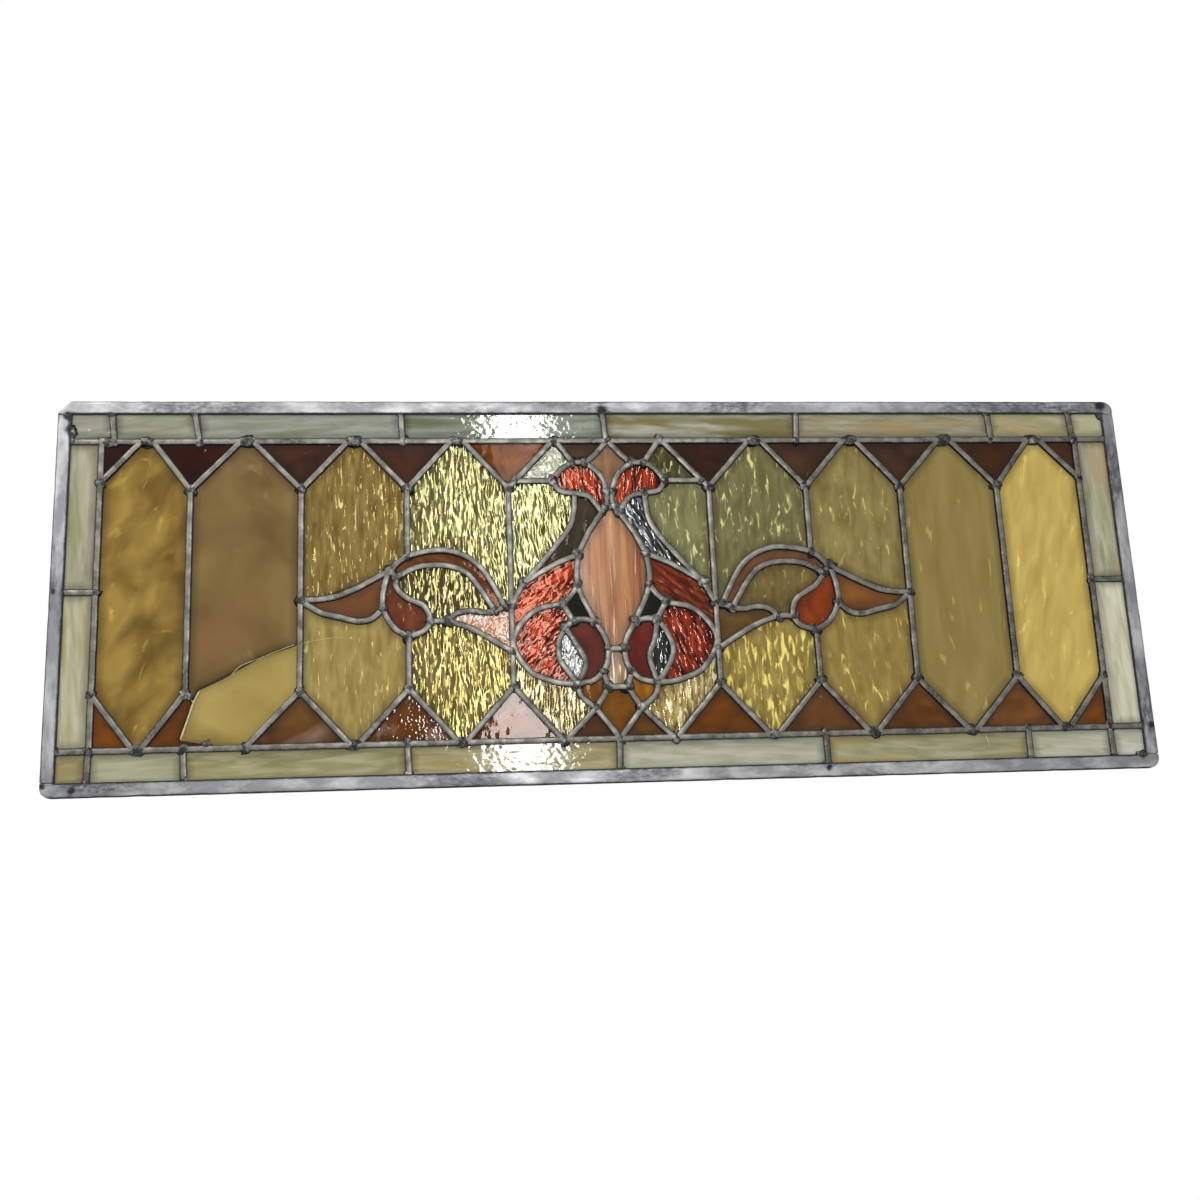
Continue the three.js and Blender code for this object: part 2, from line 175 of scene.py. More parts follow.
MM = 0.001
RIM_HALF_DEPTH = 3.3 * MM


def linear(code):
    """A colour written as a hex code, as the renderer wants it."""
    parts = [int(code[i : i + 2], 16) / 255 for i in (0, 2, 4)]
    return tuple(((c + 0.055) / 1.055) ** 2.4 if c > 0.04 else c / 12.92 for c in parts) + (1,)


def solid_copy(*names):
    """The CAD solids of these nodes as one clean mesh, with flat faces whole again."""
    bm = bmesh.new()
    for name in names:
        bm.from_mesh(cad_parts[name].data)
    bmesh.ops.remove_doubles(bm, verts=bm.verts, dist=2e-6)
    bmesh.ops.dissolve_limit(bm, angle_limit=math.radians(0.6), verts=bm.verts, edges=bm.edges)
    for layer in list(bm.loops.layers.uv):
        bm.loops.layers.uv.remove(layer)
    return bm


def whole(bm):
    """All the points, edges and faces of a mesh."""
    return list(bm.verts) + list(bm.edges) + list(bm.faces)


def finished(bm, name, material, slot, *stands_for):
    """Makes the mesh a piece of the panel with its material, and hides the nodes it stands for. The slot is
    not used.
    """
    mesh = bpy.data.meshes.new(name)
    bm.to_mesh(mesh)
    bm.free()
    mesh.materials.append(material)
    piece = add_object(name, mesh)
    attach(piece, "root")
    if stands_for:
        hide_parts(*stands_for)
    return piece


def cut_to_grid(bm, geometry, axis, low, high, step):
    """Cuts the geometry by evenly spaced planes across one axis, halving it again and again."""
    if high - low <= step:
        return
    middle = (low + high) / 2
    normal = Vector((axis == 0, axis == 1, axis == 2))
    cut = bmesh.ops.bisect_plane(
        bm, geom=geometry, dist=1e-6, plane_co=normal * middle, plane_no=normal
    )
    below = []
    above = []
    for part in cut["geom"]:
        if isinstance(part, bmesh.types.BMVert):
            place = part.co[axis]
        elif isinstance(part, bmesh.types.BMEdge):
            place = (part.verts[0].co[axis] + part.verts[1].co[axis]) / 2
        else:
            place = part.calc_center_bounds()[axis]
        if place < middle + 1e-6:
            below.append(part)
        if place > middle - 1e-6:
            above.append(part)
    cut_to_grid(bm, below, axis, low, middle, step)
    cut_to_grid(bm, above, axis, middle, high, step)


def node_group(name, colours, numbers, **results):
    """An empty shader node group, its inputs as sockets to draw from and its results."""
    group = bpy.data.node_groups.new(name, "ShaderNodeTree")
    sockets = [("INPUT", label, "Color") for label in colours]
    sockets += [("INPUT", label, "Float") for label in numbers]
    sockets += [("OUTPUT", label, kind) for label, kind in results.items()]
    for in_out, label, kind in sockets:
        group.interface.new_socket(name=label, in_out=in_out, socket_type="NodeSocket" + kind)
    given = group.nodes.new("NodeGroupInput").outputs
    return group, given, group.nodes.new("NodeGroupOutput").inputs


def blend(tree, share, first, second):
    """One colour laid over another by a share."""
    return add_node(tree, "Mix", {0: share, 6: first, 7: second}, data_type="RGBA").outputs[2]


def object_place(tree, seed):
    """Object coordinates, moved aside by the seed so that no two pieces share a pattern."""
    place = add_node(tree, "TexCoord").outputs["Object"]
    aside = add_node(tree, "CombineXYZ", {0: seed, 1: seed, 2: seed}).outputs[0]
    return add_node(tree, "VectorMath", {0: place, 1: aside}, operation="ADD").outputs[0]


def times_each(tree, place, stretch):
    """A place with each of its coordinates stretched by its own factor."""
    return add_node(tree, "VectorMath", {0: place, 1: stretch}, operation="MULTIPLY").outputs[0]


def mottle(tree, place, scale, detail=4.0, roughness=0.55, distortion=0.0):
    """Plain cloudy noise at a scale in blotches per metre."""
    values = {"Vector": place, "Scale": scale, "Detail": detail, "Roughness": roughness}
    return add_node(tree, "TexNoise", {**values, "Distortion": distortion}).outputs[0]


def patches(tree, noise, most, share, gain, ramp):
    """Where the noise is high enough for a patch, with more patches for a greater share."""
    low = number(tree, "SUBTRACT", most, number(tree, "MULTIPLY", share, gain))
    return spread(tree, noise, low, number(tree, "ADD", low, ramp))


# Weathered lead: a grey with paler worn patches, lilac and dark stains, and dirt with painted shade
# where the "across" attribute of the mesh is near 1, at the edges of the came.
old_lead, given, made = node_group(
    "old_lead",
    ("Grey", "Worn", "Stain", "Dirt_And_Shade"),
    ("Blotches", "Stained", "Drawn X", "Drawn Z", "Seed"),
    Color="Color", Roughness="Float", Height="Float",
)
tree = old_lead
drawn = add_node(tree, "CombineXYZ", {0: given["Drawn X"], 1: 1.0, 2: given["Drawn Z"]}).outputs[0]
place = times_each(tree, object_place(tree, given["Seed"]), drawn)
clouds = mottle(tree, place, given["Blotches"])
fine = mottle(tree, place, number(tree, "MULTIPLY", given["Blotches"], 5.0), 6.0, 0.65)
broad = mottle(tree, place, number(tree, "MULTIPLY", given["Blotches"], 0.35), 5.0)
colour = blend(tree, spread(tree, clouds, 0.42, 0.66), given["Grey"], given["Worn"])
stained = patches(tree, broad, 0.75, given["Stained"], 0.5, 0.1)
stained = number(tree, "MULTIPLY", stained, spread(tree, fine, 0.3, 0.6))
colour = blend(tree, stained, colour, given["Stain"])
across = add_node(tree, "Attribute", attribute_name="across").outputs["Fac"]
ragged = number(tree, "MULTIPLY", number(tree, "SUBTRACT", fine, 0.5), 0.5)
# Dirt and painted shade darken the lead where "across" is near 1.
dirt_and_shade = spread(tree, number(tree, "ADD", across, ragged), 0.6, 0.98)
tree.links.new(blend(tree, dirt_and_shade, colour, given["Dirt_And_Shade"]), made["Color"])
rough = spread(tree, clouds, 0.35, 0.7, 0.5, 0.34)
rough = number(tree, "ADD", rough, number(tree, "MULTIPLY", dirt_and_shade, 0.25))
tree.links.new(rough, made["Roughness"])
height = number(tree, "ADD", clouds, number(tree, "MULTIPLY", fine, 0.4))
tree.links.new(height, made["Height"])


def lead_finish(name, greys, blotches, stained, metal, seed, depth, drawn=(1, 1)):
    """A lead material. Its greys are the plain, worn and stained one, and the dark one of dirt and painted
    shade, as hex codes.
    """
    material, tree, shader = new_material(name)
    shader["Metallic"].default_value = metal
    values = dict(zip(("Grey", "Worn", "Stain", "Dirt_And_Shade"), map(linear, greys.split())))
    values |= {"Blotches": blotches, "Stained": stained, "Seed": seed}
    values |= {"Drawn X": drawn[0], "Drawn Z": drawn[1]}
    patina = add_node(tree, "Group", values, node_tree=old_lead).outputs
    bump = add_node(tree, "Bump", {"Height": patina["Height"], "Strength": 0.5, "Distance": depth})
    tree.links.new(patina["Color"], shader["Base Color"])
    tree.links.new(patina["Roughness"], shader["Roughness"])
    tree.links.new(bump.outputs[0], shader["Normal"])
    return material


RIM_GREYS = "898a8e c2c2c4 5c5c62 242322"
level_rim_lead = lead_finish("level_rim_lead", RIM_GREYS, 75.0, 0.5, 0.3, 3.1, 0.0005, (0.45, 1))
upright_rim_lead = lead_finish("upright_rim_lead", RIM_GREYS, 75.0, 0.55, 0.3, 7.7, 0.0005, (1, 0.35))

RIM_ROUND = 0.9 * MM
RIM_GRID = 4 * MM
RIM_DENT = 0.22 * MM
RIM_FACE = 12.7 * MM
RIM_NICKED = 1.5 * MM
NICK = 0.5 * MM
# how dark the dirt and painted shade on the rim's outer walls are
WALL_DIRT_AND_SHADE = 0.5
DARK_SPOTS = [
    # X, Z and reach in millimetres of dark spots on the lead
    (-491.5, 347, 7), (-488, 334, 8), (488, 357, 9), (-497.5, 10, 5), (485, 12, 6), (188, 8, 5),
    (-473, 6, 6), (-4, 352, 9), (497, 40, 6), (-497, 182, 4),
]
rims = {
    "head_rim": ("rim_came_top", level_rim_lead),
    "sill_rim": ("rim_came_foot", level_rim_lead),
    "left_rim": ("rim_came_left", upright_rim_lead),
    "right_rim": ("rim_came_right", upright_rim_lead),
}
width_low, width_high = cad_box[0].x, cad_box[1].x
height_low, height_high = cad_box[0].z, cad_box[1].z
for name, (node, rim_lead) in rims.items():
    bm = solid_copy(node)
    turns = [
        e
        for e in bm.edges
        if abs(e.verts[0].co.y - e.verts[1].co.y) > RIM_HALF_DEPTH
        and math.radians(5) < abs(e.calc_face_angle_signed(0)) < math.radians(60)
    ]
    bmesh.ops.bevel(
        bm, geom=turns, offset=1.2 * MM, affect="EDGES", segments=2, profile=0.5, material=-1
    )
    faces_edge = [e for e in bm.edges if all(abs(v.co.y) > RIM_HALF_DEPTH - 1e-5 for v in e.verts)]
    bmesh.ops.bevel(
        bm, geom=faces_edge, offset=RIM_ROUND, affect="EDGES", segments=3, profile=0.5, material=-1
    )
    cut_to_grid(bm, whole(bm), 0, width_low, width_high, RIM_GRID)
    cut_to_grid(bm, whole(bm), 2, height_low, height_high, RIM_GRID)
    across = bm.verts.layers.float.new("across")
    for v in bm.verts:
        edge_distance = min(
            v.co.x - width_low, width_high - v.co.x, v.co.z - height_low, height_high - v.co.z
        )
        # Dirt and painted shade: darkest along the inner edge of the rim's face beside the glass and along
        # its outer edge, weaker on the walls, but full on the sill rim's underside, as painted shade under
        # the panel.
        v[across] = max(1.1 - 4.5 * edge_distance / RIM_FACE, 1.4 - 5 * (1 - edge_distance / RIM_FACE), 0)
        in_wall = edge_distance < 0.2 * MM and abs(v.co.y) < RIM_HALF_DEPTH - 0.8 * MM
        if in_wall and name != "sill_rim":
            v[across] = WALL_DIRT_AND_SHADE
        for x, z, reach in DARK_SPOTS:
            away = math.hypot(v.co.x - x * MM, v.co.z - z * MM) / (reach * MM)
            v[across] = max(v[across], 1.4 - away)
        dent = 0.5 + 0.5 * noise.noise(v.co / 0.011 + Vector((5.2, 0, 1.7)))
        v.co.y -= math.copysign(RIM_DENT * dent, v.co.y) if abs(v.co.y) > 2 * MM else 0
        nick = max(0.0, noise.noise(v.co / 0.017 + Vector((0, 9.1, 0)))) * NICK
        v.co.x += nick if v.co.x - width_low < RIM_NICKED else 0
        v.co.x -= nick if width_high - v.co.x < RIM_NICKED else 0
        v.co.z += nick if v.co.z - height_low < RIM_NICKED else 0
        v.co.z -= nick if height_high - v.co.z < RIM_NICKED else 0
    for f in bm.faces:
        f.smooth = True
    piece = finished(bm, name, rim_lead, "lead_rim", node)
    piece.data.set_sharp_from_angle(angle=math.radians(40))

# ---------------------------------------------------------------- glass
# Every piece of glass is a flat sheet of about 3 mm, cut to its outline and slid into the
# grooves of the cames. Rolled, rippled and hammered sheets carry their relief on both faces.


def leaning(tree, given, depth):
    """Object coordinates turned by the lean and stretched across and along it."""
    place = object_place(tree, given["Seed"])
    values = {"Vector": place, "Angle": given["Lean"]}
    turned = add_node(tree, "VectorRotate", values, rotation_type="Y_AXIS").outputs[0]
    stretch = add_node(tree, "CombineXYZ", {0: given["Across"], 1: depth, 2: given["Along"]})
    return times_each(tree, turned, stretch.outputs[0])


def scaled(tree, place, scale):
    """A place made larger or smaller."""
    return add_node(tree, "VectorMath", {0: place, "Scale": scale}, operation="SCALE").outputs[0]


# The colour of a sheet: streaks of a pale and a deep colour, drifts of a third, painted glints of a
# fourth one that stand for light caught in the ripples, and painted shade of the lead with a thin
# line of old cement along it, where "margin" is small.
sheet_colour, given, made = node_group(
    "sheet_colour",
    ("Pale", "Deep", "Drift", "Glint"),
    ("Across", "Along", "Lean", "Contrast", "Drifts", "Glints", "Edge", "Seed"),
    Color="Color",
)
tree = sheet_colour
grain = leaning(tree, given, 40.0)
streaks = mottle(tree, grain, 1.0, 3.0, 0.5, 0.5)
low = number(tree, "SUBTRACT", 0.5, given["Contrast"])
high = number(tree, "ADD", 0.5, given["Contrast"])
colour = blend(tree, spread(tree, streaks, low, high), given["Deep"], given["Pale"])
clouds = mottle(tree, scaled(tree, grain, 0.4), 1.0, 3.0, 0.5)
colour = blend(tree, patches(tree, clouds, 0.8, given["Drifts"], 0.6, 0.14), colour, given["Drift"])
# Painted glints: bright flecks of the glint colour that stand for light caught in the ripples.
painted_glint_spots = mottle(tree, scaled(tree, grain, 1.7), 1.0, 2.0, 0.45, 0.8)
colour = blend(tree, patches(tree, painted_glint_spots, 0.75, given["Glints"], 0.4, 0.06), colour, given["Glint"])
margin = add_node(tree, "Attribute", attribute_name="margin").outputs["Fac"]
# Painted shade of the lead on the glass: a broad soft band, with a thin dark line of old cement and painted
# shade at the came's edge.
soft_shade = spread(tree, margin, 0.0, 0.008, 0.6, 0.0)
hard_edge = spread(tree, margin, 0.0003, 0.0018, 0.95, 0.0)
cement_and_shade = number(tree, "MULTIPLY", number(tree, "MAXIMUM", soft_shade, hard_edge), given["Edge"])
tree.links.new(blend(tree, cement_and_shade, colour, (0.012, 0.010, 0.008, 1)), made["Color"])

# The finest relief of a rolled sheet, too small for the mesh.
sheet_grain, given, made = node_group(
    "sheet_grain", (), ("Across", "Along", "Lean", "Seed"), Height="Float"
)
rolled = mottle(sheet_grain, leaning(sheet_grain, given, 60.0), 1.0, 2.0, 0.5)
sheet_grain.links.new(rolled, made["Height"])

PLAIN_SHEET = {
    # streaks across and along in each metre, their lean and contrast, share of drifts and of painted glints
    "across": 90.0, "along": 20.0, "lean": 0.0, "contrast": 0.25, "drifts": 0.3, "glints": 0.0,
    # cement and painted shade at the edge, milkiness, roughness, colour of its shine, and its fine relief in
    # metres
    "edge": 0.85, "seed": 1.0, "milk": 0.0, "rough": 0.035, "shine": "ffffff",
    "grain": (420.0, 160.0), "bump": 0.00002,
}


def glass_finish(name, colours, streaks, look):
    """A coloured glass, from its pale, deep, drift and painted glint colours and how it is streaked."""
    streaks = dict(zip(("across", "along", "contrast", "glints", "drifts"), streaks))
    look = {**PLAIN_SHEET, **streaks, **look}
    material, tree, shader = new_material(name)
    shader["Roughness"].default_value = look["rough"]
    shader["IOR"].default_value = 1.5
    shader["Metallic"].default_value = 0
    shader["Transmission Weight"].default_value = 1 - look["milk"]
    shader["Specular Tint"].default_value = linear(look["shine"])
    lean = math.radians(look["lean"])
    values = {key.title(): look[key] for key in ("across", "along", "contrast", "drifts", "glints", "edge")}
    # A sheet given no glint colour gets white painted glints.
    values |= dict(zip(("Pale", "Deep", "Drift", "Glint"), map(linear, (colours + " ffffff").split())))
    values |= {"Lean": lean, "Seed": look["seed"]}
    sheet = add_node(tree, "Group", values, node_tree=sheet_colour)
    tree.links.new(sheet.outputs["Color"], shader["Base Color"])
    values = {"Across": look["grain"][0], "Along": look["grain"][1], "Lean": lean, "Seed": look["seed"]}
    grain = add_node(tree, "Group", values, node_tree=sheet_grain)
    values = {"Height": grain.outputs[0], "Strength": 1.0, "Distance": look["bump"]}
    tree.links.new(add_node(tree, "Bump", values).outputs[0], shader["Normal"])
    return material


def outline_of(bm):
    """The straight runs of a sheet's front outline, as pairs of points in X and Z."""
    runs = []
    for e in bm.edges:
        walls = [f for f in e.link_faces if abs(f.normal.y) < 0.5]
        if len(walls) == 1 and all(v.co.y < 0 for v in e.verts):
            runs.append([(v.co.x, v.co.z) for v in e.verts])
    return np.array(runs)


CAME_COVER = 1.7 * MM     # how far the came's face reaches over the glass


def margins(bm, runs):
    """How far each point of the sheet lies inside the came's edge."""
    points = np.array([(v.co.x, v.co.z) for v in bm.verts])
    nearest = np.full(len(points), 1.0)
    for start, end in runs:
        span = end - start
        share = np.clip(((points - start) @ span) / (span @ span), 0, 1)
        nearest = np.minimum(nearest, np.hypot(*(points - start - share[:, None] * span).T))
    return nearest - CAME_COVER


def relief(x, z, spacing, length, lean, height, seed):
    """The height of a rolled sheet's waves at one place, all in metres."""
    turn = math.radians(lean)
    side = (x * math.cos(turn) + z * math.sin(turn)) / spacing
    along = (z * math.cos(turn) - x * math.sin(turn)) / length
    wander = 0.9 * noise.noise(Vector((side * 0.35, along * 1.3, seed + 7.7)))
    broad = noise.noise(Vector((side + wander, along, seed)))
    small = noise.noise(Vector((side * 2.1 + wander, along * 1.9, seed + 3.3)))
    return height * (broad + 0.35 * small)


def glaze(bm, name, material, slot, wave, grid, *stands_for):
    """Cuts a sheet fine enough for its waves, lays them on and finishes the piece."""
    runs = outline_of(bm)
    for axis, step in zip((0, 2), grid):
        places = [v.co[axis] for v in bm.verts]
        cut_to_grid(bm, whole(bm), axis, min(places), max(places), step)
    bm.normal_update()
    inside = bm.verts.layers.float.new("margin")
    for v, room in zip(bm.verts, margins(bm, runs)):
        v[inside] = room
        if v.co.y < 0:
            v.co.y += relief(v.co.x, v.co.z, *wave)
        else:
            v.co.y += 0.4 * relief(v.co.x, v.co.z, *wave[:-1], wave[-1] + 21.5)
    for f in bm.faces:
        f.smooth = abs(f.normal.y) > 0.5
    piece = finished(bm, name, material, slot, *stands_for)
    piece.visible_shadow = False
    return piece


# Waves of each kind of sheet: spacing, length, lean in degrees, height, and the grid they need.
RIPPLE = ((2.6 * MM, 12 * MM, 4, 0.26 * MM), (1.0 * MM, 3.0 * MM))
GENTLE = ((4.5 * MM, 26 * MM, 3, 0.16 * MM), (1.6 * MM, 6.0 * MM))
ROLLED = ((9 * MM, 14 * MM, 20, 0.12 * MM), (2.6 * MM, 3.2 * MM))
SMOOTH = ((16 * MM, 22 * MM, 10, 0.10 * MM), (4.0 * MM, 5.0 * MM))
HAMMERED = ((2.0 * MM, 2.4 * MM, 0, 0.16 * MM), (1.0 * MM, 1.1 * MM))
PATCHY = ((7 * MM, 9 * MM, 15, 0.10 * MM), (2.0 * MM, 2.2 * MM))
PEELED = ((3.0 * MM, 2.8 * MM, 0, 0.075 * MM), (1.5 * MM, 1.5 * MM))
STREAMED = ((1.9 * MM, 8 * MM, 0, 0.24 * MM), (0.8 * MM, 1.6 * MM))


def sheet_of(kind, seed, lean=None):
    """The waves and grid of a kind of sheet, with its own seed and lean."""
    (spacing, length, usual_lean, height), grid = kind
    return (spacing, length, usual_lean if lean is None else lean, height, seed), grid

# ---------------------------------------------------------------- the border
# Strips of milky opalescent glass, streaked cream, green and caramel, fill the border. The CAD
# model has each side in one length; the real one is cut where the short cross cames run.

BORDER = {
    # node: centre line of each cross came at the rim and at the inner came, in millimetres
    "border_glass_top": [
        (-452.5, -449.5), (-379, -374), (-192, -190.5), (-4, -1), (183, 181.5), (372, 374), (454, 456),
    ],
    "border_glass_foot": [
        (-461.5, -461), (-380, -381.5), (-187.5, -188.5), (-1.5, -1), (188, 187.5), (378, 378), (457.5, 457),
    ],
    "border_glass_left": [(181, 181)],
    "border_glass_right": [(181, 181)],
}
BORDER_LINES = {
    # node: where the two ends of a cross came lie, across the strip
    "border_glass_top": (361, 322),
    "border_glass_foot": (0, 39.5),
    "border_glass_left": (-500, -460.5),
    "border_glass_right": (500, 457.5),
}
BORDER_COLOURS = {
    # pale, deep, drift and share of the drift, from left to right or from the foot up
    "border_glass_top": [
        ("a1a093 8b8a79 988e65", 0.2),
        ("a3a291 888975 939077", 0.3),
        ("a0a197 858879 7f8368", 0.3),
        ("94988d 757a69 676e51", 0.4),
        ("abad9d 8a886f 7b734b", 0.6),
        ("a7a28a 857e65 9b875f", 0.45),
        ("ada889 958d66 ac9c71", 0.5),
        ("bab79a a6a181 9a9470", 0.3),
    ],
    "border_glass_foot": [
        ("a8a283 857d5c 9c8d5f", 0.5),
        ("b2b097 9d9c7f a19258", 0.3),
        ("aca785 8a865e 9c9254", 0.5),
        ("b3ab88 938a64 a3935a", 0.4),
        ("bbbaa8 a1a18c 999e7e", 0.3),
        ("aba888 8a8a63 a79767", 0.5),
        ("c1bfac a8a88f a49d73", 0.3),
        ("c9c8bd b2b4a1 aead93", 0.2),
    ],
    "border_glass_left": [("c0bda4 a4a286 a69c63", 0.45), ("b3ae98 97947b 8f9161", 0.45)],
    "border_glass_right": [("d4d3bd b9b79e b0ad8c", 0.25), ("b6b7a0 949274 ac9e7b", 0.6)],
}
HEART_AND_SLACK = 1.05 * MM


def islands(bm):
    """The separate bodies of a mesh, each as a list of its points."""
    left = set(bm.verts)
    found = []
    while left:
        body = [left.pop()]
        for v in body:
            for e in v.link_edges:
                other = e.other_vert(v)
                if other in left:
                    left.remove(other)
                    body.append(other)
        found.append(body)
    return found


def alone(bm, body):
    """A copy of the mesh that keeps just one of its bodies."""
    kept = {v.index for v in body}
    copy = bm.copy()
    copy.verts.ensure_lookup_table()
    others = [v for v in copy.verts if v.index not in kept]
    bmesh.ops.delete(copy, geom=others, context="VERTS")
    return copy


for node, crosses in BORDER.items():
    bm = solid_copy(node)
    upright = node in ("border_glass_left", "border_glass_right")
    at_rim, at_came = BORDER_LINES[node]
    for rim_end, came_end in crosses:
        if upright:
            first, second = Vector((at_rim, 0, rim_end)), Vector((at_came, 0, came_end))
        else:
            first, second = Vector((rim_end, 0, at_rim)), Vector((came_end, 0, at_came))
        side = (second - first).cross(Vector((0, 1, 0))).normalized()
        for hand in (-1, 1):
            bmesh.ops.bisect_plane(
                bm,
                geom=whole(bm),
                dist=1e-7,
                plane_co=first * MM + side * hand * HEART_AND_SLACK,
                plane_no=side,
            )
        inside_gap = [
            f for f in bm.faces
            if abs((f.calc_center_bounds() - first * MM).dot(side)) < HEART_AND_SLACK * 0.9
        ]
        bmesh.ops.delete(bm, geom=inside_gap, context="FACES")
    bmesh.ops.holes_fill(bm, edges=[e for e in bm.edges if e.is_boundary], sides=0)
    bmesh.ops.recalc_face_normals(bm, faces=bm.faces)
    bm.verts.index_update()
    run = 2 if upright else 0
    strips = sorted(islands(bm), key=lambda body: min(v.co[run] for v in body))
    for i, (body, (colours, drifts)) in enumerate(zip(strips, BORDER_COLOURS[node])):
        name = node.replace("glass", "strip") + f"_{i + 1}"
        look = {
            "seed": 0.61 * i + len(node), "milk": 0.72, "rough": 0.045, "grain": (340, 430),
            "bump": 0.00004, "edge": 0.8, "lean": 6 - 2 * i,
        }
        streaks = (190, 26, 0.16, 0, drifts) if upright else (26, 190, 0.16, 0, drifts)
        milky = glass_finish(name, colours, streaks, look)
        glaze(alone(bm, body), name, milky, "opal_border", *sheet_of(PEELED, i + 3.5), node)
    bm.free()

# ---------------------------------------------------------------- the tall panes
# Gabled panes of golden cathedral glass stand between the upright cames. The outer ones are
# streaky and nearly flat, the ones towards the middle are strongly rippled.

PANES = {
    # node: slot, kind of sheet, lean of its waves, pale, deep, drift and painted glint colours, streaks
    # across and along in each metre, contrast, share of painted glints and drifts, and what else differs
    "pane_far_left": ("brown_gold_glass", ROLLED, -35, "a88b44 725623 58421b c8a850",
        (34, 20, 0.14, 0.25, 0.42), {"lean": -30}),
    "left_over_leaf_pane": ("gold_glass", RIPPLE, 2, "9b844d 6f592d 867338 ecdc98", (190, 40, 0.18, 0.32),
        {"shine": "a89868"}),
    "left_under_leaf_pane": ("gold_glass", GENTLE, 2, "b39e5f 8b763c 9f8c49 ead684", (150, 34, 0.2, 0.28),
        {}),
    "left_over_arch_pane": ("ripple_glass", RIPPLE, 3, "7f754e 574d2c 91895d eeeea0", (210, 44, 0.14, 0.5),
        {"shine": "fffbb8"}),
    "left_in_arch_pane": ("ripple_glass", RIPPLE, -2, "655439 433621 736848 ece88c", (190, 44, 0.14, 0.45),
        {"shine": "fffbb8"}),
    "left_under_arch_pane": ("ripple_glass", RIPPLE, 2, "85754a 5e5029 90825f f4dc80", (200, 44, 0.14, 0.46),
        {"shine": "fff5a8"}),
    "left_horn_pane": ("ripple_glass", RIPPLE, 4, "787041 4e4820 8d8452 f2f2b0", (230, 50, 0.14, 0.52),
        {"shine": "fffcc0"}),
    "left_gable_pane": ("ripple_glass", HAMMERED, 0, "cfcfb7 9e9e7e dadad5", (120, 70, 0.08, 0.5),
        {"shine": "a0a090"}),
    "left_foot_pane": ("ripple_glass", RIPPLE, -6, "79653c 4a3518 907d5a f6e8b4", (230, 60, 0.12, 0.5),
        {"shine": "fff8c8"}),
    "right_gable_pane": ("olive_glass", GENTLE, 0, "66603a 3a361b 837d52 e8e8a4", (160, 50, 0.14, 0.42), {}),
    "right_horn_pane": ("olive_glass", GENTLE, 0, "8f8b5f 6e6a47 9f9a6f dede9c", (150, 40, 0.16, 0.38),
        {"shine": "fffcc0"}),
    "right_over_arch_pane": ("olive_glass", GENTLE, 0, "807952 625c3a 8f8961 dcda90", (140, 40, 0.18, 0.33),
        {"shine": "fffcc0"}),
    "right_in_arch_pane": ("olive_glass", GENTLE, 0, "816f40 5f4f28 907e49 c8b468", (150, 40, 0.2, 0.25),
        {}),
    "right_under_arch_pane": ("ripple_glass", GENTLE, 3, "a08d4d 796731 ab975b f8e07c", (150, 36, 0.14, 0.5),
        {"shine": "fff5a8"}),
    "right_foot_pane": ("ripple_glass", RIPPLE, 8, "b29d64 70572c d1c092 f8ecb4", (230, 60, 0.12, 0.5),
        {"shine": "fff8c8"}),
    "right_over_leaf_pane": ("gold_glass", GENTLE, -3, "998954 746535 837645 d8c678", (120, 34, 0.22, 0.26),
        {}),
    "right_under_leaf_pane": ("gold_glass", GENTLE, 5, "a0894b 7d6831 917b3d e8cf74", (110, 34, 0.22, 0.28),
        {"lean": 8}),
    "pane_right": ("gold_glass", SMOOTH, 0, "988650 7d6c36 897642 d0b868", (60, 14, 0.25, 0.2), {}),
    "pane_far_right": ("gold_glass", SMOOTH, -12, "ceb766 ad9548 bea454 ecd274", (90, 24, 0.25, 0.22),
        {"lean": -12}),
}


def curve(*points):
    """A smooth line through points in X and Z, stepped about every three millimetres."""
    spots = [Vector((x, 0, z)) for x, z in points]
    last = len(spots) - 1
    line = [spots[0]]
    for i in range(last):
        before, start, end, after = (
            spots[max(i - 1, 0)], spots[i], spots[i + 1], spots[min(i + 2, last)],
        )
        steps = max(1, round((end - start).length / 3))
        for k in range(1, steps + 1):
            t = k / steps
            line.append(0.5 * (
                2 * start + (end - before) * t
                + (2 * before - 5 * start + 4 * end - after) * t**2
                + (3 * start - before - 3 * end + after) * t**3
            ))
    return line


# The inner edge of each teardrop is a hollow curve and the arch over it is round. The CAD model
# has both plainer, so the sheets beside them are cut to these lines, and so are the cames later.
TEAR_FOOT, TEAR_ARM, TEAR_CROWN = (186.5, 136), (198, 191), (203.5, 197.5)
TEAR_PLAIN = curve(TEAR_FOOT, (172, 141), (166, 156), (175, 170), TEAR_ARM, TEAR_CROWN)
TEAR_HOLLOW = {
    "left": curve(
        TEAR_FOOT, (172.5, 141.5), (167.5, 152), (172, 163.5), (180.4, 168.2), (188.3, 172.3),
        (195, 178), (198, 184.5), TEAR_ARM, TEAR_CROWN,
    ),
    "right": curve(
        TEAR_FOOT, (172, 141), (165.6, 151), (168.5, 164.5), (177, 171.5), (186.4, 177),
        (192.6, 182.6), (196, 187.5), TEAR_ARM, TEAR_CROWN,
    ),
}


def evenly(line, count=160):
    """Evenly spaced spots along a line."""
    runs = [0.0]
    for before, after in zip(line, line[1:]):
        runs.append(runs[-1] + (after - before).length)
    shares = np.linspace(0, runs[-1], count)
    return np.stack([np.interp(shares, runs, [spot[axis] for spot in line]) for axis in (0, 2)], 1)


ARCH_PLAIN = [
    Vector((x, 0, z)) for x, z in (TEAR_ARM, (179.8, 200.2), (154, 202), (128, 188), (109, 158.5))
]
ARCH_ROUND = curve(TEAR_ARM, (172, 202), (136, 196), (109, 158.5))


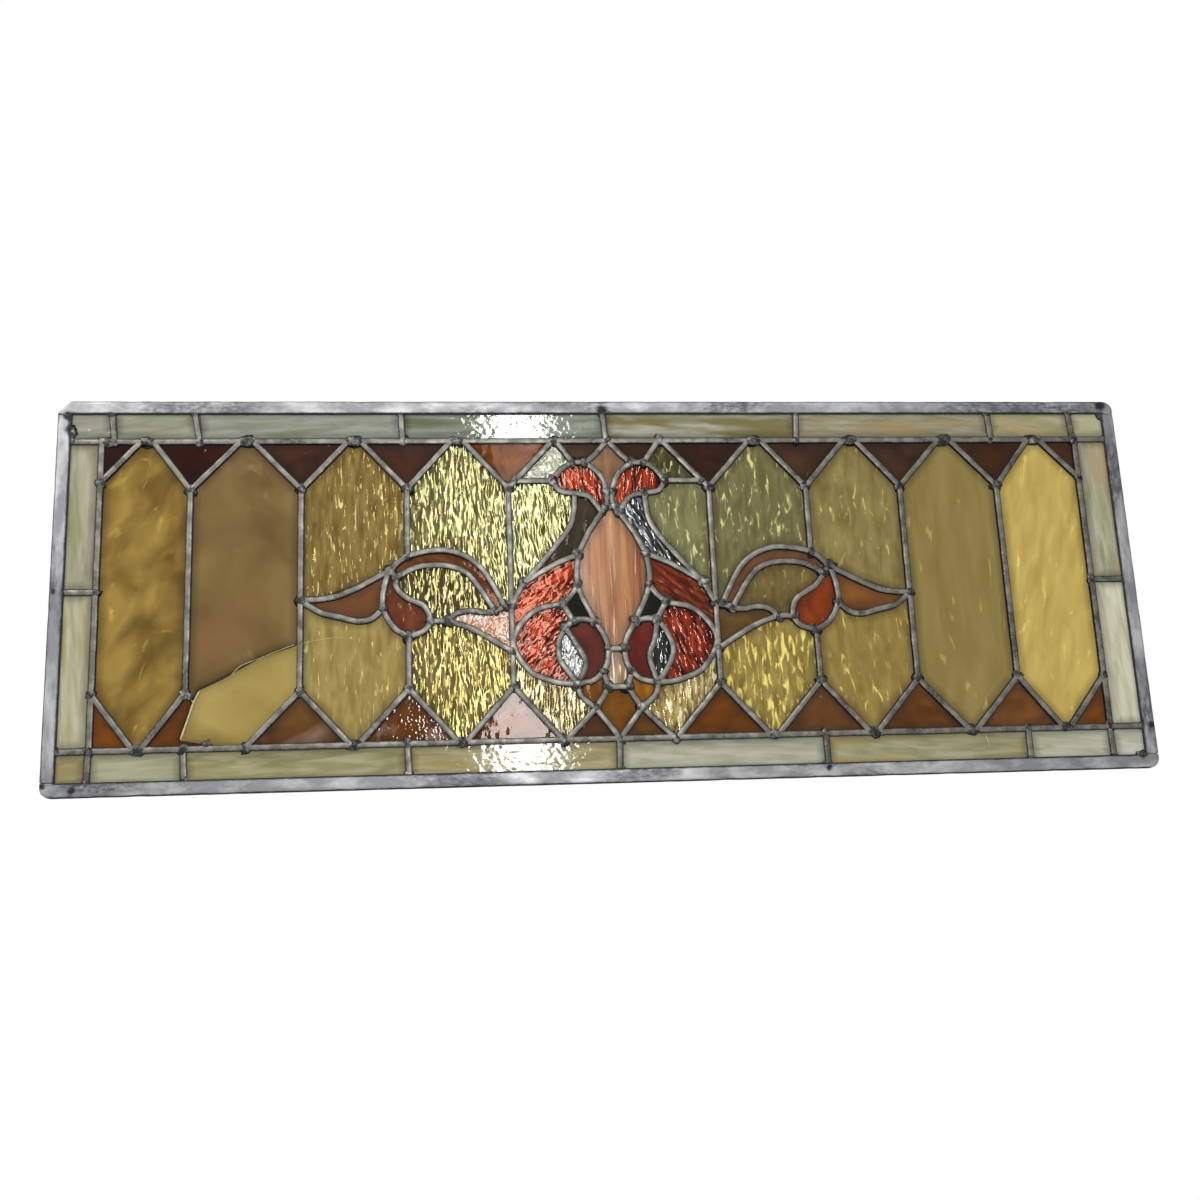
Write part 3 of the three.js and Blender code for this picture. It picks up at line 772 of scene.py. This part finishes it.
def redrawn(bm, side, *pairs):
    """Moves the outline that runs along the first line of each pair to the second one."""
    mirror = -1 if side == "left" else 1
    for before, after in pairs:
        plain, wanted = evenly(before), evenly(after)

        def nearest(v):
            away = np.hypot(*(np.array((v.co.x * mirror, v.co.z)) / MM - plain).T)
            return away.argmin(), away.min()

        along = [e for e in bm.edges if all(nearest(v)[1] < 2.4 for v in e.verts)]
        along = [e for e in along if abs(e.verts[0].co.y - e.verts[1].co.y) < 1e-5]
        bmesh.ops.subdivide_edges(bm, edges=along, cuts=2)
        for v in bm.verts:
            spot, away = nearest(v)
            if away < 2.4:
                v.co.x += (wanted[spot][0] - plain[spot][0]) * mirror * MM
                v.co.z += (wanted[spot][1] - plain[spot][1]) * MM
    flat = [f for f in bm.faces if abs(f.normal.y) > 0.5]
    bmesh.ops.connect_verts_concave(bm, faces=flat)
    bm.normal_update()


def glaze_nodes(table, seeds, wave_seeds, **usual):
    """Glazes the CAD nodes of a table, and first recuts the sheets beside the redrawn lines."""
    for i, (node, (slot, kind, lean, colours, streaks, look)) in enumerate(table.items()):
        look = {"seed": seeds[0] * i + seeds[1], **usual, **look}
        sheet = glass_finish(node, colours, streaks, look)
        bm = solid_copy(node)
        side, _, part = node.partition("_")
        pairs = []
        if part in ("in_arch_pane", "teardrop"):
            pairs.append((TEAR_PLAIN, TEAR_HOLLOW[side]))
        if part in ("in_arch_pane", "arch"):
            pairs.append((ARCH_PLAIN, ARCH_ROUND))
        if pairs:
            redrawn(bm, side, *pairs)
        waves = sheet_of(kind, wave_seeds[0] * i + wave_seeds[1], lean)
        glaze(bm, node + "_glass", sheet, slot, *waves, node)


glaze_nodes(PANES, (1.3, 0), (2.9, 0))

# ---------------------------------------------------------------- the broken pane
# The second pane is cracked across. Its lower part has slipped out of line and lost the came
# at its lower left, so the cut edge of the shard shows there as a bright line.

BROKEN = {
    # The fourth colour and the fourth streak value are painted glints.
    "cracked_pane": ("brown_gold_glass", ROLLED, 15, "8c7346 6b512c 86633d 8c7a54", (20, 16, 0.22, 0.2, 0.4),
        {"lean": 35, "seed": 4.1}),
    "slipped_shard": ("gold_glass", SMOOTH, 0, "b6a15e 9f8846 877136", (22, 18, 0.2, 0, 0.3),
        {"lean": 60, "seed": 8.8, "edge": 0.35}),
}
glaze_nodes(BROKEN, (1, 0), (0, 5.5))

# ---------------------------------------------------------------- the rows of triangles
# Between the gables sit triangles of dark oxblood glass at the top and of chestnut and amber
# glass at the foot. The CAD model hangs each row on a thin web that is hidden in the lead; here
# the web is cut off and every triangle is a sheet of its own.

ROWS = {
    # node: slot, where the web starts, which way is outwards
    "top_row": ("oxblood_glass", 319.35 * MM, 1),
    "foot_row": ("chestnut_glass", 42.1 * MM, -1),
}
TRIANGLES = {
    # from left to right: kind of sheet, pale, deep and drift colours
    "top_row": [
        (SMOOTH, "351306 220903 411606"),
        (SMOOTH, "3a0f05 250802 471204"),
        (SMOOTH, "46281c 2f1a13 4e301e"),
        (SMOOTH, "4a3025 362016 542a18"),
        (PATCHY, "94521f 542812 b07044"),
        (SMOOTH, "5b3f23 3f2d1d 6b522d"),
        (SMOOTH, "462c19 2d1c0f 53381d"),
        (SMOOTH, "3d1e11 27140b 482613"),
        (SMOOTH, "42291c 2d1b12 543722"),
        (SMOOTH, "482d1f 321f12 4e2b16"),
        (SMOOTH, "46270e 301706 543211"),
        (SMOOTH, "542f16 3b200e 63371b"),
    ],
    "foot_row": [
        (SMOOTH, "8b4d09 633406 a2620d"),
        (SMOOTH, "783e05 553204 8f5208"),
        (GENTLE, "704b22 533213 91735d"),
        (HAMMERED, "734318 4e2a0d ad867e"),
        (PATCHY, "84512c 552d16 9c7458"),
        (SMOOTH, "613a1e 452712 79481e"),
        (SMOOTH, "714919 4f3210 8c6123"),
        (SMOOTH, "764207 522a04 8d550a"),
        (SMOOTH, "6d4521 4b2e13 855a25"),
        (GENTLE, "683d12 452609 7a4f16"),
        (GENTLE, "7d4d22 543414 8d6026"),
        (SMOOTH, "864d08 5f3303 9c620b"),
    ],
}
PATCHY_SHINE = {"top_row": "4a4642", "foot_row": "b4aeac"}
for node, (slot, cut, outwards) in ROWS.items():
    bm = solid_copy(node)
    bmesh.ops.bisect_plane(
        bm,
        geom=whole(bm),
        dist=1e-7,
        plane_co=(0, 0, cut),
        plane_no=(0, 0, outwards),
        clear_outer=True,
    )
    bmesh.ops.holes_fill(bm, edges=[e for e in bm.edges if e.is_boundary], sides=0)
    edge = [v for v in bm.verts if abs(v.co.z - cut) < 1e-6]
    bmesh.ops.translate(bm, verts=edge, vec=(0, 0, 1.4 * MM * outwards))
    bmesh.ops.recalc_face_normals(bm, faces=bm.faces)
    bm.verts.index_update()
    triangles = sorted(islands(bm), key=lambda body: sum(v.co.x for v in body) / len(body))
    for i, (body, (kind, colours)) in enumerate(zip(triangles, TRIANGLES[node])):
        name = node.replace("row", "triangle") + f"_{i + 1}"
        look = {
            "lean": 25 * (i % 3) - 20, "seed": 0.83 * i + 2, "edge": 0.8,
            "shine": PATCHY_SHINE[node] if kind is PATCHY else "ffffff",
        }
        streaks = (120 if kind is HAMMERED else 34, 60, 0.22, 0, 0.4)
        sheet = glass_finish(name, colours, streaks, look)
        glaze(alone(bm, body), name, sheet, slot, *sheet_of(kind, 1.7 * i), node)
    bm.free()

# ---------------------------------------------------------------- the middle ornament
# A tall tan spindle is held between two horns with red caps, red leaves and round red lobes. All
# of it is small pieces of strongly coloured glass, most of it rippled so that it glitters, and most
# of it with glints painted into its colour as well.

ORNAMENT = {
    # The fourth colour and the fourth streak value are painted glints, white where no colour is given.
    "peak_piece": ("spindle_glass", SMOOTH, 0, "9b7347 703e1b af936c", (160, 18),
        {"milk": 0.35, "rough": 0.14}),
    "spindle": ("spindle_glass", SMOOTH, 0, "b98657 8a4d27 c4a77f eed6c0", (240, 9, 0.16, 0.22, 0.35),
        {"milk": 0.4, "rough": 0.14}),
    "spindle_foot": ("spindle_glass", SMOOTH, 0, "8c592b 60310f a68860 fff0d8", (190, 18, 0.25, 0.4, 0.5),
        {"milk": 0.35, "rough": 0.14}),
    "diamond": ("amber_glass", SMOOTH, 0, "895816 5a330c 6a4112", (60, 20), {}),
    "left_amber_piece": ("amber_glass", GENTLE, 0, "905b31 643b1a a37649", (90, 30), {"shine": "806050"}),
    "right_amber_piece": ("amber_glass", GENTLE, 0, "bd7a1a 7f4b12 d59824", (120, 30), {}),
    "left_red_cap": ("red_glass", STREAMED, 8, "ca4c2a 50140b d77046 ffd0bc", (300, 22, 0.12, 0.22, 0.15),
        {"lean": 8, "shine": "d0a898", "rough": 0.06}),
    "right_red_cap": ("red_glass", STREAMED, -6, "b84528 3e140d ca6740 ffc8b4", (300, 26, 0.12, 0.26, 0.15),
        {"lean": -6, "shine": "d0a898", "rough": 0.06}),
    "left_horn": ("smoke_glass", GENTLE, -20, "514737 332f26 433d30", (200, 20),
        {"lean": -20, "edge": 0.5, "shine": "605850"}),
    "right_horn": ("smoke_glass", STREAMED, 28, "2f2d2a 181715 434447 c4ccd4", (300, 24, 0.25, 0.55),
        {"lean": 28, "rough": 0.06, "edge": 0.4}),
    "left_red_leaf": ("red_glass", STREAMED, -62, "ba4525 57170b c86640 ffd0bc", (300, 18, 0.12, 0.2, 0.15),
        {"lean": -62, "shine": "b08070"}),
    "right_red_leaf": ("red_glass", GENTLE, 50, "903e24 481c14 a8512f d89078", (260, 50, 0.12, 0.28),
        {"lean": 50, "shine": "ffd8c8"}),
    "left_corner_piece": ("bottle_glass", SMOOTH, 0, "101308 080904 171a0b", (), {}),
    "right_corner_piece": ("bottle_glass", SMOOTH, 0, "1a1d10 0e1008 282b1b", (), {}),
    "left_red_lobe": ("red_glass", STREAMED, -50, "b04024 2e0b07 c45b35 ffe0d4", (240, 70, 0.11, 0.28, 0.15),
        {"lean": -50, "shine": "c09080"}),
    "right_red_lobe": ("red_glass", STREAMED, 20, "9b3a24 2c0d0a b95531 f8ccbc", (260, 50, 0.11, 0.3, 0.15),
        {"lean": 20, "shine": "d0a090"}),
    "left_wine_lobe": ("wine_glass", SMOOTH, 15, "74382b 4f211c 8e4037", (60, 40), {}),
    "right_wine_lobe": ("wine_glass", SMOOTH, -15, "7d2e20 541a15 a13722", (60, 40), {}),
    "left_eye": ("smoke_glass", HAMMERED, 0, "dfe5e0 0e100d e9ebe8", (200, 170, 0.04, 0.5, 0.55),
        {"lean": 30, "milk": 0.1, "shine": "d8d8d8"}),
    "right_eye": ("smoke_glass", STREAMED, 0, "3e443f 0f120f 595f59 98a4a4", (240, 60, 0.15, 0.35), {}),
}
glaze_nodes(ORNAMENT, (0.77, 3), (1.1, 40), edge=0.7)

# ---------------------------------------------------------------- the wings
# On each side a wing springs from the ornament: an arch, a teardrop, an outer leaf that ends in
# a point and a slim inner leaf, in chestnut and red glass.

WINGS = {
    # The fourth colour and the fourth streak value are painted glints, white where no colour is given.
    "left_arch": ("chestnut_glass", GENTLE, 60, "885837 613924 794624", (140, 50, 0.2),
        {"lean": 60, "shine": "806050"}),
    "right_arch": ("chestnut_glass", GENTLE, -60, "875b38 633f27 9b6d47", (140, 50), {"lean": -60}),
    "left_teardrop": ("chestnut_glass", SMOOTH, 0, "814526 572919 a65c2c fff0e4", (170, 60, 0.25, 0.2), {}),
    "right_teardrop": ("red_glass", GENTLE, 0, "9d4616 6c260a 7e200e", (60, 40), {}),
    "left_outer_leaf": ("chestnut_glass", SMOOTH, 0, "825735 603c23 734725", (40, 60), {}),
    "right_outer_leaf": ("chestnut_glass", SMOOTH, 0, "865726 663c1b 99682a", (40, 60), {}),
    "left_inner_leaf": ("peach_glass", HAMMERED, 0, "ecc8b8 b4703c f4e0d8", (60, 90, 0.25, 0.38, 0.5),
        {"shine": "b0a098"}),
    "right_inner_leaf": ("chestnut_glass", SMOOTH, 0, "70552c 533a1d 634b2c", (60, 90), {}),
}
glaze_nodes(WINGS, (0.57, 6), (1.9, 70), edge=0.7)

# ---------------------------------------------------------------- the cames
# Round-faced lead cames, an H in section, hold the glass. Each is milled straight, pulled,
# bent to its line by hand and cut to length, so its face wavers a little. Dark cement and dirt,
# with painted shade, lie along its two edges, and its crown is rubbed bright.

CAME_HALF = 2.75          # half the width of a came's face, in millimetres
CAME_CROWN = 2.78         # height of the crown over the middle of the glass
CAME_EDGE = 2.05          # height of the rounded edge
CAME_LIP = 1.8            # underside of the face, against the glass
LIP_HALF = 2.7            # half the width of its flat underside
HEART_HALF = 0.75         # half the thickness of the heart between two sheets
STATION = 9.0             # millimetres between two sections of a came
HEIGHT = 361.0
TOP, FOOT, LEFT, RIGHT = 322, 39.5, -460.5, 457.5
RIM_INSIDE = 12.4         # the cames run up to the rim came's edge
UPPER, UPPER_END, LOWER = 275.5, 283, 88.5
LEFT_POSTS = [LEFT, -381, -282.5, -187, -94]
RIGHT_POSTS = [94, 187, 278.5, 374, RIGHT]


def straight(*points):
    """A line of straight runs through points in X and Z, with a section every few millimetres."""
    spots = [Vector((x, 0, z)) for x, z in points]
    line = [spots[0]]
    for start, end in zip(spots, spots[1:]):
        steps = max(1, round((end - start).length / STATION))
        line += [start.lerp(end, k / steps) for k in range(1, steps + 1)]
    return line


def other_side(line):
    return [Vector((-p.x, 0, p.z)) for p in line]


lines = [
    straight((-500 + RIM_INSIDE, TOP), (500 - RIM_INSIDE, TOP)),
    straight((-500 + RIM_INSIDE, FOOT), (500 - RIM_INSIDE, FOOT)),
    straight((LEFT, FOOT), (LEFT, TOP)),
    straight((RIGHT, FOOT), (RIGHT, TOP)),
]
lines += [straight((x, LOWER), (x, UPPER)) for x in (-381, -282.5, -94, 94, 278.5, 374)]
for posts in (LEFT_POSTS, RIGHT_POSTS):
    for west, east in zip(posts, posts[1:]):
        middle = (west + east) / 2
        west_top = UPPER_END if west == LEFT else UPPER
        east_top = UPPER_END if east == RIGHT else UPPER
        lines.append(straight((west, west_top), (middle - 5.5, TOP)))
        lines.append(straight((middle + 5.5, TOP), (east, east_top)))
        lines.append(straight((middle + 3, FOOT), (east, LOWER)))
        if west != -381:
            lines.append(straight((west, LOWER), (middle - 3, FOOT)))

CAP_PEAK, CAP_TIP, HORN_TIP = (22, 300.5), (52, 282.5), (83, 184)
SPINDLE_UPPER, SPINDLE_LOWER, SPINDLE_FOOT = (31.5, 211), (33, 181.5), (18.5, 147.5)
SIDE_NODE, EYE_TOP, LOBE_FOOT = (94, 163), (38.5, 148.5), (36.5, 90)
DIAMOND_SIDE, AMBER_TOP = (21, 67.5), (13, 101)
half_ornament = [
    straight((51.5, TOP), (94, UPPER)),
    straight((48.5, TOP), (33.5, 300)),
    curve((0, TOP), (14, 306.5), CAP_PEAK),
    curve(CAP_PEAK, (33.5, 300), (44, 294), CAP_TIP),
    curve(CAP_TIP, (47, 273), (32.5, 270), (19, 266.5), (8, 251.5)),
    straight(CAP_TIP, (87.6, 282.5)),
    curve(CAP_PEAK, (8, 288), (3, 272), (3, 259), (8, 251.5), (21, 232), SPINDLE_UPPER),
    curve(SPINDLE_UPPER, SPINDLE_LOWER, SPINDLE_FOOT),
    curve(SPINDLE_FOOT, (10, 132.5), (7.5, 121.5), (8.5, 110.5), AMBER_TOP, (22, 93), LOBE_FOOT),
    curve((32.5, 270), (37, 241), (58, 212), HORN_TIP),
    straight(HORN_TIP, SIDE_NODE),
    curve(SPINDLE_UPPER, (54, 201.5), HORN_TIP),
    curve(SPINDLE_LOWER, (39, 173), (47.5, 164.5)),
    curve((47.5, 164.5), (74, 157.5), (92.8, 131.2), (80, 103.5), (56, 92), LOBE_FOOT),
    straight((47.5, 164.5), EYE_TOP),
    curve(EYE_TOP, (30, 149.8), SPINDLE_FOOT),
    straight(AMBER_TOP, (9, 86.5)),
    curve(LOBE_FOOT, (33.5, 78.5), DIAMOND_SIDE),
    curve((48.5, FOOT), DIAMOND_SIDE, (9, 86.5)),
    straight((51.5, FOOT), (94, LOWER)),
    straight((0, FOOT), DIAMOND_SIDE),
]
lines += half_ornament + [other_side(line) for line in half_ornament]
lines += [straight((-x, z), (x, z)) for x, z in ((3, 272), (4.5, 257), (7.5, 122), (9, 86.5))]
lines += [
    curve(EYE_TOP, (46.5, 137.5), (52, 121.5), (47.5, 106), LOBE_FOOT),
    curve(EYE_TOP, (35.5, 130.5), (30, 113), LOBE_FOOT),
    straight((-38.5, 148.5), (-46, 141.5)),
    curve((-46, 141.5), (-52, 129), (-52, 113.5), (-45.5, 102.5), (-36.5, 90)),
    curve((-46, 141.5), (-36.5, 126.5), (-28.5, 108.5), (-36.5, 90)),
]


def wing(outer_post, side):
    """The lines of one wing, drawn on the right, which ends at the given upright."""
    crown, tear_foot = TEAR_CROWN, TEAR_FOOT
    knee, arch_foot, leaf_tip = (209.2, 162.5), (109, 158.5), (151, 150)
    return [
        curve((outer_post, 171), (248, 175), crown),
        curve((outer_post, 171), (266, 160.1), (247, 155), (231, 151), (219, 153.5), knee),
        TEAR_HOLLOW[side],
        curve(crown, (208.3, 182), knee, (200, 145), tear_foot),
        curve(crown, (185, 212), (150, 216), (121.4, 200.1), (100, 162.5)),
        ARCH_ROUND,
        curve(leaf_tip, (144, 157), (131, 159.3), (119, 157.3), arch_foot),
        straight(arch_foot, (100, 162.5), SIDE_NODE),
        curve(leaf_tip, (127.5, 141), (94, 120.5)),
        straight(leaf_tip, (167, 150)),
        straight((187, 211), (187, UPPER)),
        straight(tear_foot, (187, LOWER)),
    ]


lines += wing(278.5, "right") + [other_side(line) for line in wing(282.5, "left")]
for node, crosses in BORDER.items():
    at_rim, at_came = BORDER_LINES[node]
    inwards = math.copysign(RIM_INSIDE, at_came - at_rim)
    for rim_end, came_end in crosses:
        ends = [(rim_end, at_rim + inwards), (came_end, at_came)]
        upright = node in ("border_glass_left", "border_glass_right")
        lines.append(straight(*[(b, a) if upright else (a, b) for a, b in ends]))

turns = [t * math.pi / 12 for t in range(-6, 7)]
rise = CAME_CROWN - CAME_EDGE
half_section = [(CAME_HALF * math.sin(t), -(CAME_EDGE + rise * math.cos(t))) for t in turns]
half_section += [(LIP_HALF, -CAME_LIP), (HEART_HALF, -CAME_LIP)]
half_section += [(HEART_HALF, CAME_LIP), (LIP_HALF, CAME_LIP)]
H_SECTION = half_section + [(-x, -y) for x, y in half_section]


def heading(line, i):
    """Which way a line runs at one of its spots."""
    return (line[min(i + 1, len(line) - 1)] - line[max(i - 1, 0)]).normalized()


def placed(side, depth, ahead, spot):
    """The matrix that puts a section drawn in X and Y at a spot, facing along its line."""
    matrix = Matrix.Identity(4)
    for i, axis in enumerate((side, depth, ahead, spot)):
        matrix.col[i] = (*axis, i == 3)
    return matrix


def draw_through(bm, ring, edges, sections):
    """Draws a closed ring through a run of sections, given as matrices, and closes both ends."""
    bmesh.ops.contextual_create(bm, geom=edges)
    last = Matrix.Identity(4)
    for i, section in enumerate(sections):
        if i:
            grown = bmesh.ops.extrude_edge_only(bm, edges=edges)["geom"]
            ring = [g for g in grown if isinstance(g, bmesh.types.BMVert)]
            edges = [g for g in grown if isinstance(g, bmesh.types.BMEdge)]
            edges = [e for e in edges if all(v in ring for v in e.verts)]
        bmesh.ops.transform(bm, matrix=section @ last.inverted(), verts=ring)
        last = section
    bmesh.ops.contextual_create(bm, geom=edges)


def lay_came(bm, line, rng):
    """Draws the H-section along a line, each section a little wider or narrower than the last."""
    sections = []
    for i, spot in enumerate(line):
        ahead = heading(line, i)
        width = 1 + rng.uniform(-0.04, 0.04)
        side = Vector((ahead.z, 0, -ahead.x)) * width
        drift = side * rng.uniform(-0.12, 0.12)
        sections.append(placed(side, Vector((0, 1, 0)), ahead, spot + drift))
    ring = [bm.verts.new((x, y, 0)) for x, y in H_SECTION]
    for v in ring:
        v[came_across] = abs(v.co.x) / CAME_HALF
    edges = [bm.edges.new((a, b)) for a, b in zip(ring, ring[1:] + ring[:1])]
    draw_through(bm, ring, edges, sections)


def take_in(bm, one):
    """Adds a finished part, drawn in millimetres, to the mesh of the whole."""
    bmesh.ops.scale(one, vec=(MM, MM, MM), verts=one.verts)
    part = bpy.data.meshes.new("part")
    one.to_mesh(part)
    one.free()
    bm.from_mesh(part)
    bpy.data.meshes.remove(part)


rng = random.Random(7)
bm = bmesh.new()
for line in lines:
    one = bmesh.new()
    came_across = one.verts.layers.float.new("across")
    lay_came(one, line, rng)
    bmesh.ops.recalc_face_normals(one, faces=one.faces)
    for f in one.faces:
        f.smooth = len(f.verts) == 4
    take_in(bm, one)
came_lead = lead_finish(
    "came_lead", "6c6961 928f85 46443d 141210", 110.0, 0.45, 0.4, 11.0, 0.0003
)
cames = finished(bm, "cames", came_lead, "lead_came", "came_network")
cames.data.set_sharp_from_angle(angle=math.radians(50))

# ---------------------------------------------------------------- the solder
# Where cames meet they are soldered front and back. Each joint is a low uneven mound of
# tin and lead, greyer and rougher than the cames, and darker towards its rim.

MOUND_HEIGHT = 1.05
MOUND_MIDDLE = 2.0
MOUND_INSET = 2.5         # no solder comes nearer to the outline of the panel
JOINT_REACH = 4.2         # cames that end this near to each other share a mound
GABLE_REACH = 11.5
joints = []
for line in lines:
    for spot, inner in ((line[0], line[1]), (line[-1], line[-2])):
        # The two cames at the tip of a gable end a little apart, under one broad mound.
        reach = GABLE_REACH if spot.z in (TOP, FOOT) else JOINT_REACH
        near = [j for j in joints if (j[0][0] - spot).length < reach]
        if near:
            near[0][0].append(spot)
        else:
            joints.append([[spot], (inner - spot).normalized()])


def add_mound(bm, spot, side, wide, tall, lean, top, rng):
    """One mound of solder on the front (-1) or the back (1)."""
    one = bmesh.new()
    mound_across = one.verts.layers.float.new("across")
    bmesh.ops.create_uvsphere(one, u_segments=12, v_segments=4, radius=1.0)
    bmesh.ops.rotate(one, matrix=Matrix.Rotation(math.pi / 2, 3, "X"), verts=one.verts)
    seed = Vector((rng.uniform(0, 50), rng.uniform(0, 50), rng.uniform(0, 50)))
    for v in one.verts:
        v[mound_across] = min(1.0, math.hypot(v.co.x, v.co.z) ** 3)
        v.co *= 1 + 0.4 * noise.noise(v.co * 1.3 + seed) + 0.12 * noise.noise(v.co * 3.5 + seed)
    reach = max(abs(v.co.y) for v in one.verts)
    height = (top - MOUND_MIDDLE) / reach
    bmesh.ops.scale(one, vec=(wide, height, tall), verts=one.verts)
    bmesh.ops.rotate(one, matrix=Matrix.Rotation(lean, 3, "Y"), verts=one.verts)
    bmesh.ops.translate(one, vec=spot + Vector((0, side * MOUND_MIDDLE, 0)), verts=one.verts)
    for v in one.verts:
        v.co.x = max(MOUND_INSET - 500, min(500 - MOUND_INSET, v.co.x))
        v.co.z = max(MOUND_INSET, min(HEIGHT - MOUND_INSET, v.co.z))
    take_in(bm, one)


rng = random.Random(23)
bm = bmesh.new()
for spots, along in joints:
    spot = sum(spots, Vector()) / len(spots)
    span = max((other - spot).length for other in spots)
    at_rim = min(500 - abs(spot.x), spot.z, HEIGHT - spot.z) < RIM_INSIDE + 1
    for side in (-1, 1):
        size = 4.7 + 0.4 * min(len(spots), 4) + rng.uniform(-0.4, 0.9)
        shift = Vector((rng.uniform(-0.6, 0.6), 0, rng.uniform(-0.6, 0.6)))
        if at_rim:
            shift -= along * 1.5
            lean = math.atan2(along.x, along.z)
            add_mound(bm, spot + shift, side, 4.2, size, lean, 3.24, rng)
        elif span > 2:
            lean = rng.uniform(-0.2, 0.2)
            add_mound(bm, spot + shift, side, size + span * 0.75, size * 0.9, lean, 3.12, rng)
        else:
            lean = rng.uniform(0, math.pi)
            add_mound(bm, spot + shift, side, size, size * 0.85, lean, 3.12, rng)
LOOSE_LUMPS = [
    # X, Z, half width, half height and lean in degrees: lumps on the rim, and by the break
    (-489.5, 331, 6.5, 8.5, 10), (-492, 350, 5, 6, -20), (487.5, 347, 4.5, 7, 0), (484.5, 12, 7, 5, 15),
    (-473, 7, 13, 5, 5), (183, 9.5, 11, 4.5, 0), (-376.5, 86, 4.5, 3.6, 40), (-361.5, 43.5, 4.6, 4.2, 0),
]
for x, z, wide, tall, lean in LOOSE_LUMPS:
    top = 3.12 if abs(x) < 400 and z > 30 else 3.28
    add_mound(bm, Vector((x, 0, z)), -1, wide, tall, math.radians(lean), top, rng)
for f in bm.faces:
    f.smooth = True
joint_solder = lead_finish(
    "joint_solder", "3c3a37 a8a6a0 181614 151311", 230.0, 0.75, 0.45, 17.0, 0.0008
)
finished(bm, "solder_joints", joint_solder, "lead_came")

# ---------------------------------------------------------------- the break
# The crack shows as a bright line where the glass has chipped along it, and the shard's free
# edge is a broad pale bevel. A short flaw in a strip of the border is drawn the same way.

broken_edge = glass_finish(
    "broken_edge", "efe6b4 c8b878 fffbe0", (300, 300), {"milk": 0.75, "rough": 0.3, "edge": 0.0}
)
BREAK_DEPTH = 1.2         # how far from the middle of the glass the lines of the break lie
BREAK_LINES = {
    # name: line in X and Z, half width, front height in millimetres
    "crack_line": (((-342, 104), (-334, 112), (-320, 118), (-300, 126), (-287, 131)), 0.35, 1.62),
    "shard_edge": (((-368.5, 91), (-373, 82), (-376, 73), (-379, 63), (-384, 47.5)), 0.85, 1.75),
    "crack_tail": (((-280, 132), (-270, 134), (-255, 136), (-235, 135.5)), 0.22, 1.66),
    "border_flaw": (((337, 35), (338.5, 30), (340, 24)), 0.4, 1.6),
}
for name, (points, half, front) in BREAK_LINES.items():
    bm = bmesh.new()
    line = curve(*points)
    sections = []
    for i, spot in enumerate(line):
        ahead = heading(line, i)
        taper = 0.35 if i in (0, len(line) - 1) else 1 + 0.3 * noise.noise(spot * 0.2)
        side = Vector((ahead.z, 0, -ahead.x)) * half * taper
        depth = Vector((0, front - BREAK_DEPTH, 0))
        sections.append(placed(side, depth, ahead, spot - Vector((0, BREAK_DEPTH, 0))))
    ring = bmesh.ops.create_circle(bm, segments=8, radius=1.0)["verts"]
    draw_through(bm, ring, list(bm.edges), sections)
    bmesh.ops.recalc_face_normals(bm, faces=bm.faces)
    bmesh.ops.scale(bm, vec=(MM, MM, MM), verts=bm.verts)
    for f in bm.faces:
        f.smooth = True
    finished(bm, name, broken_edge, "gold_glass")

low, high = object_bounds()
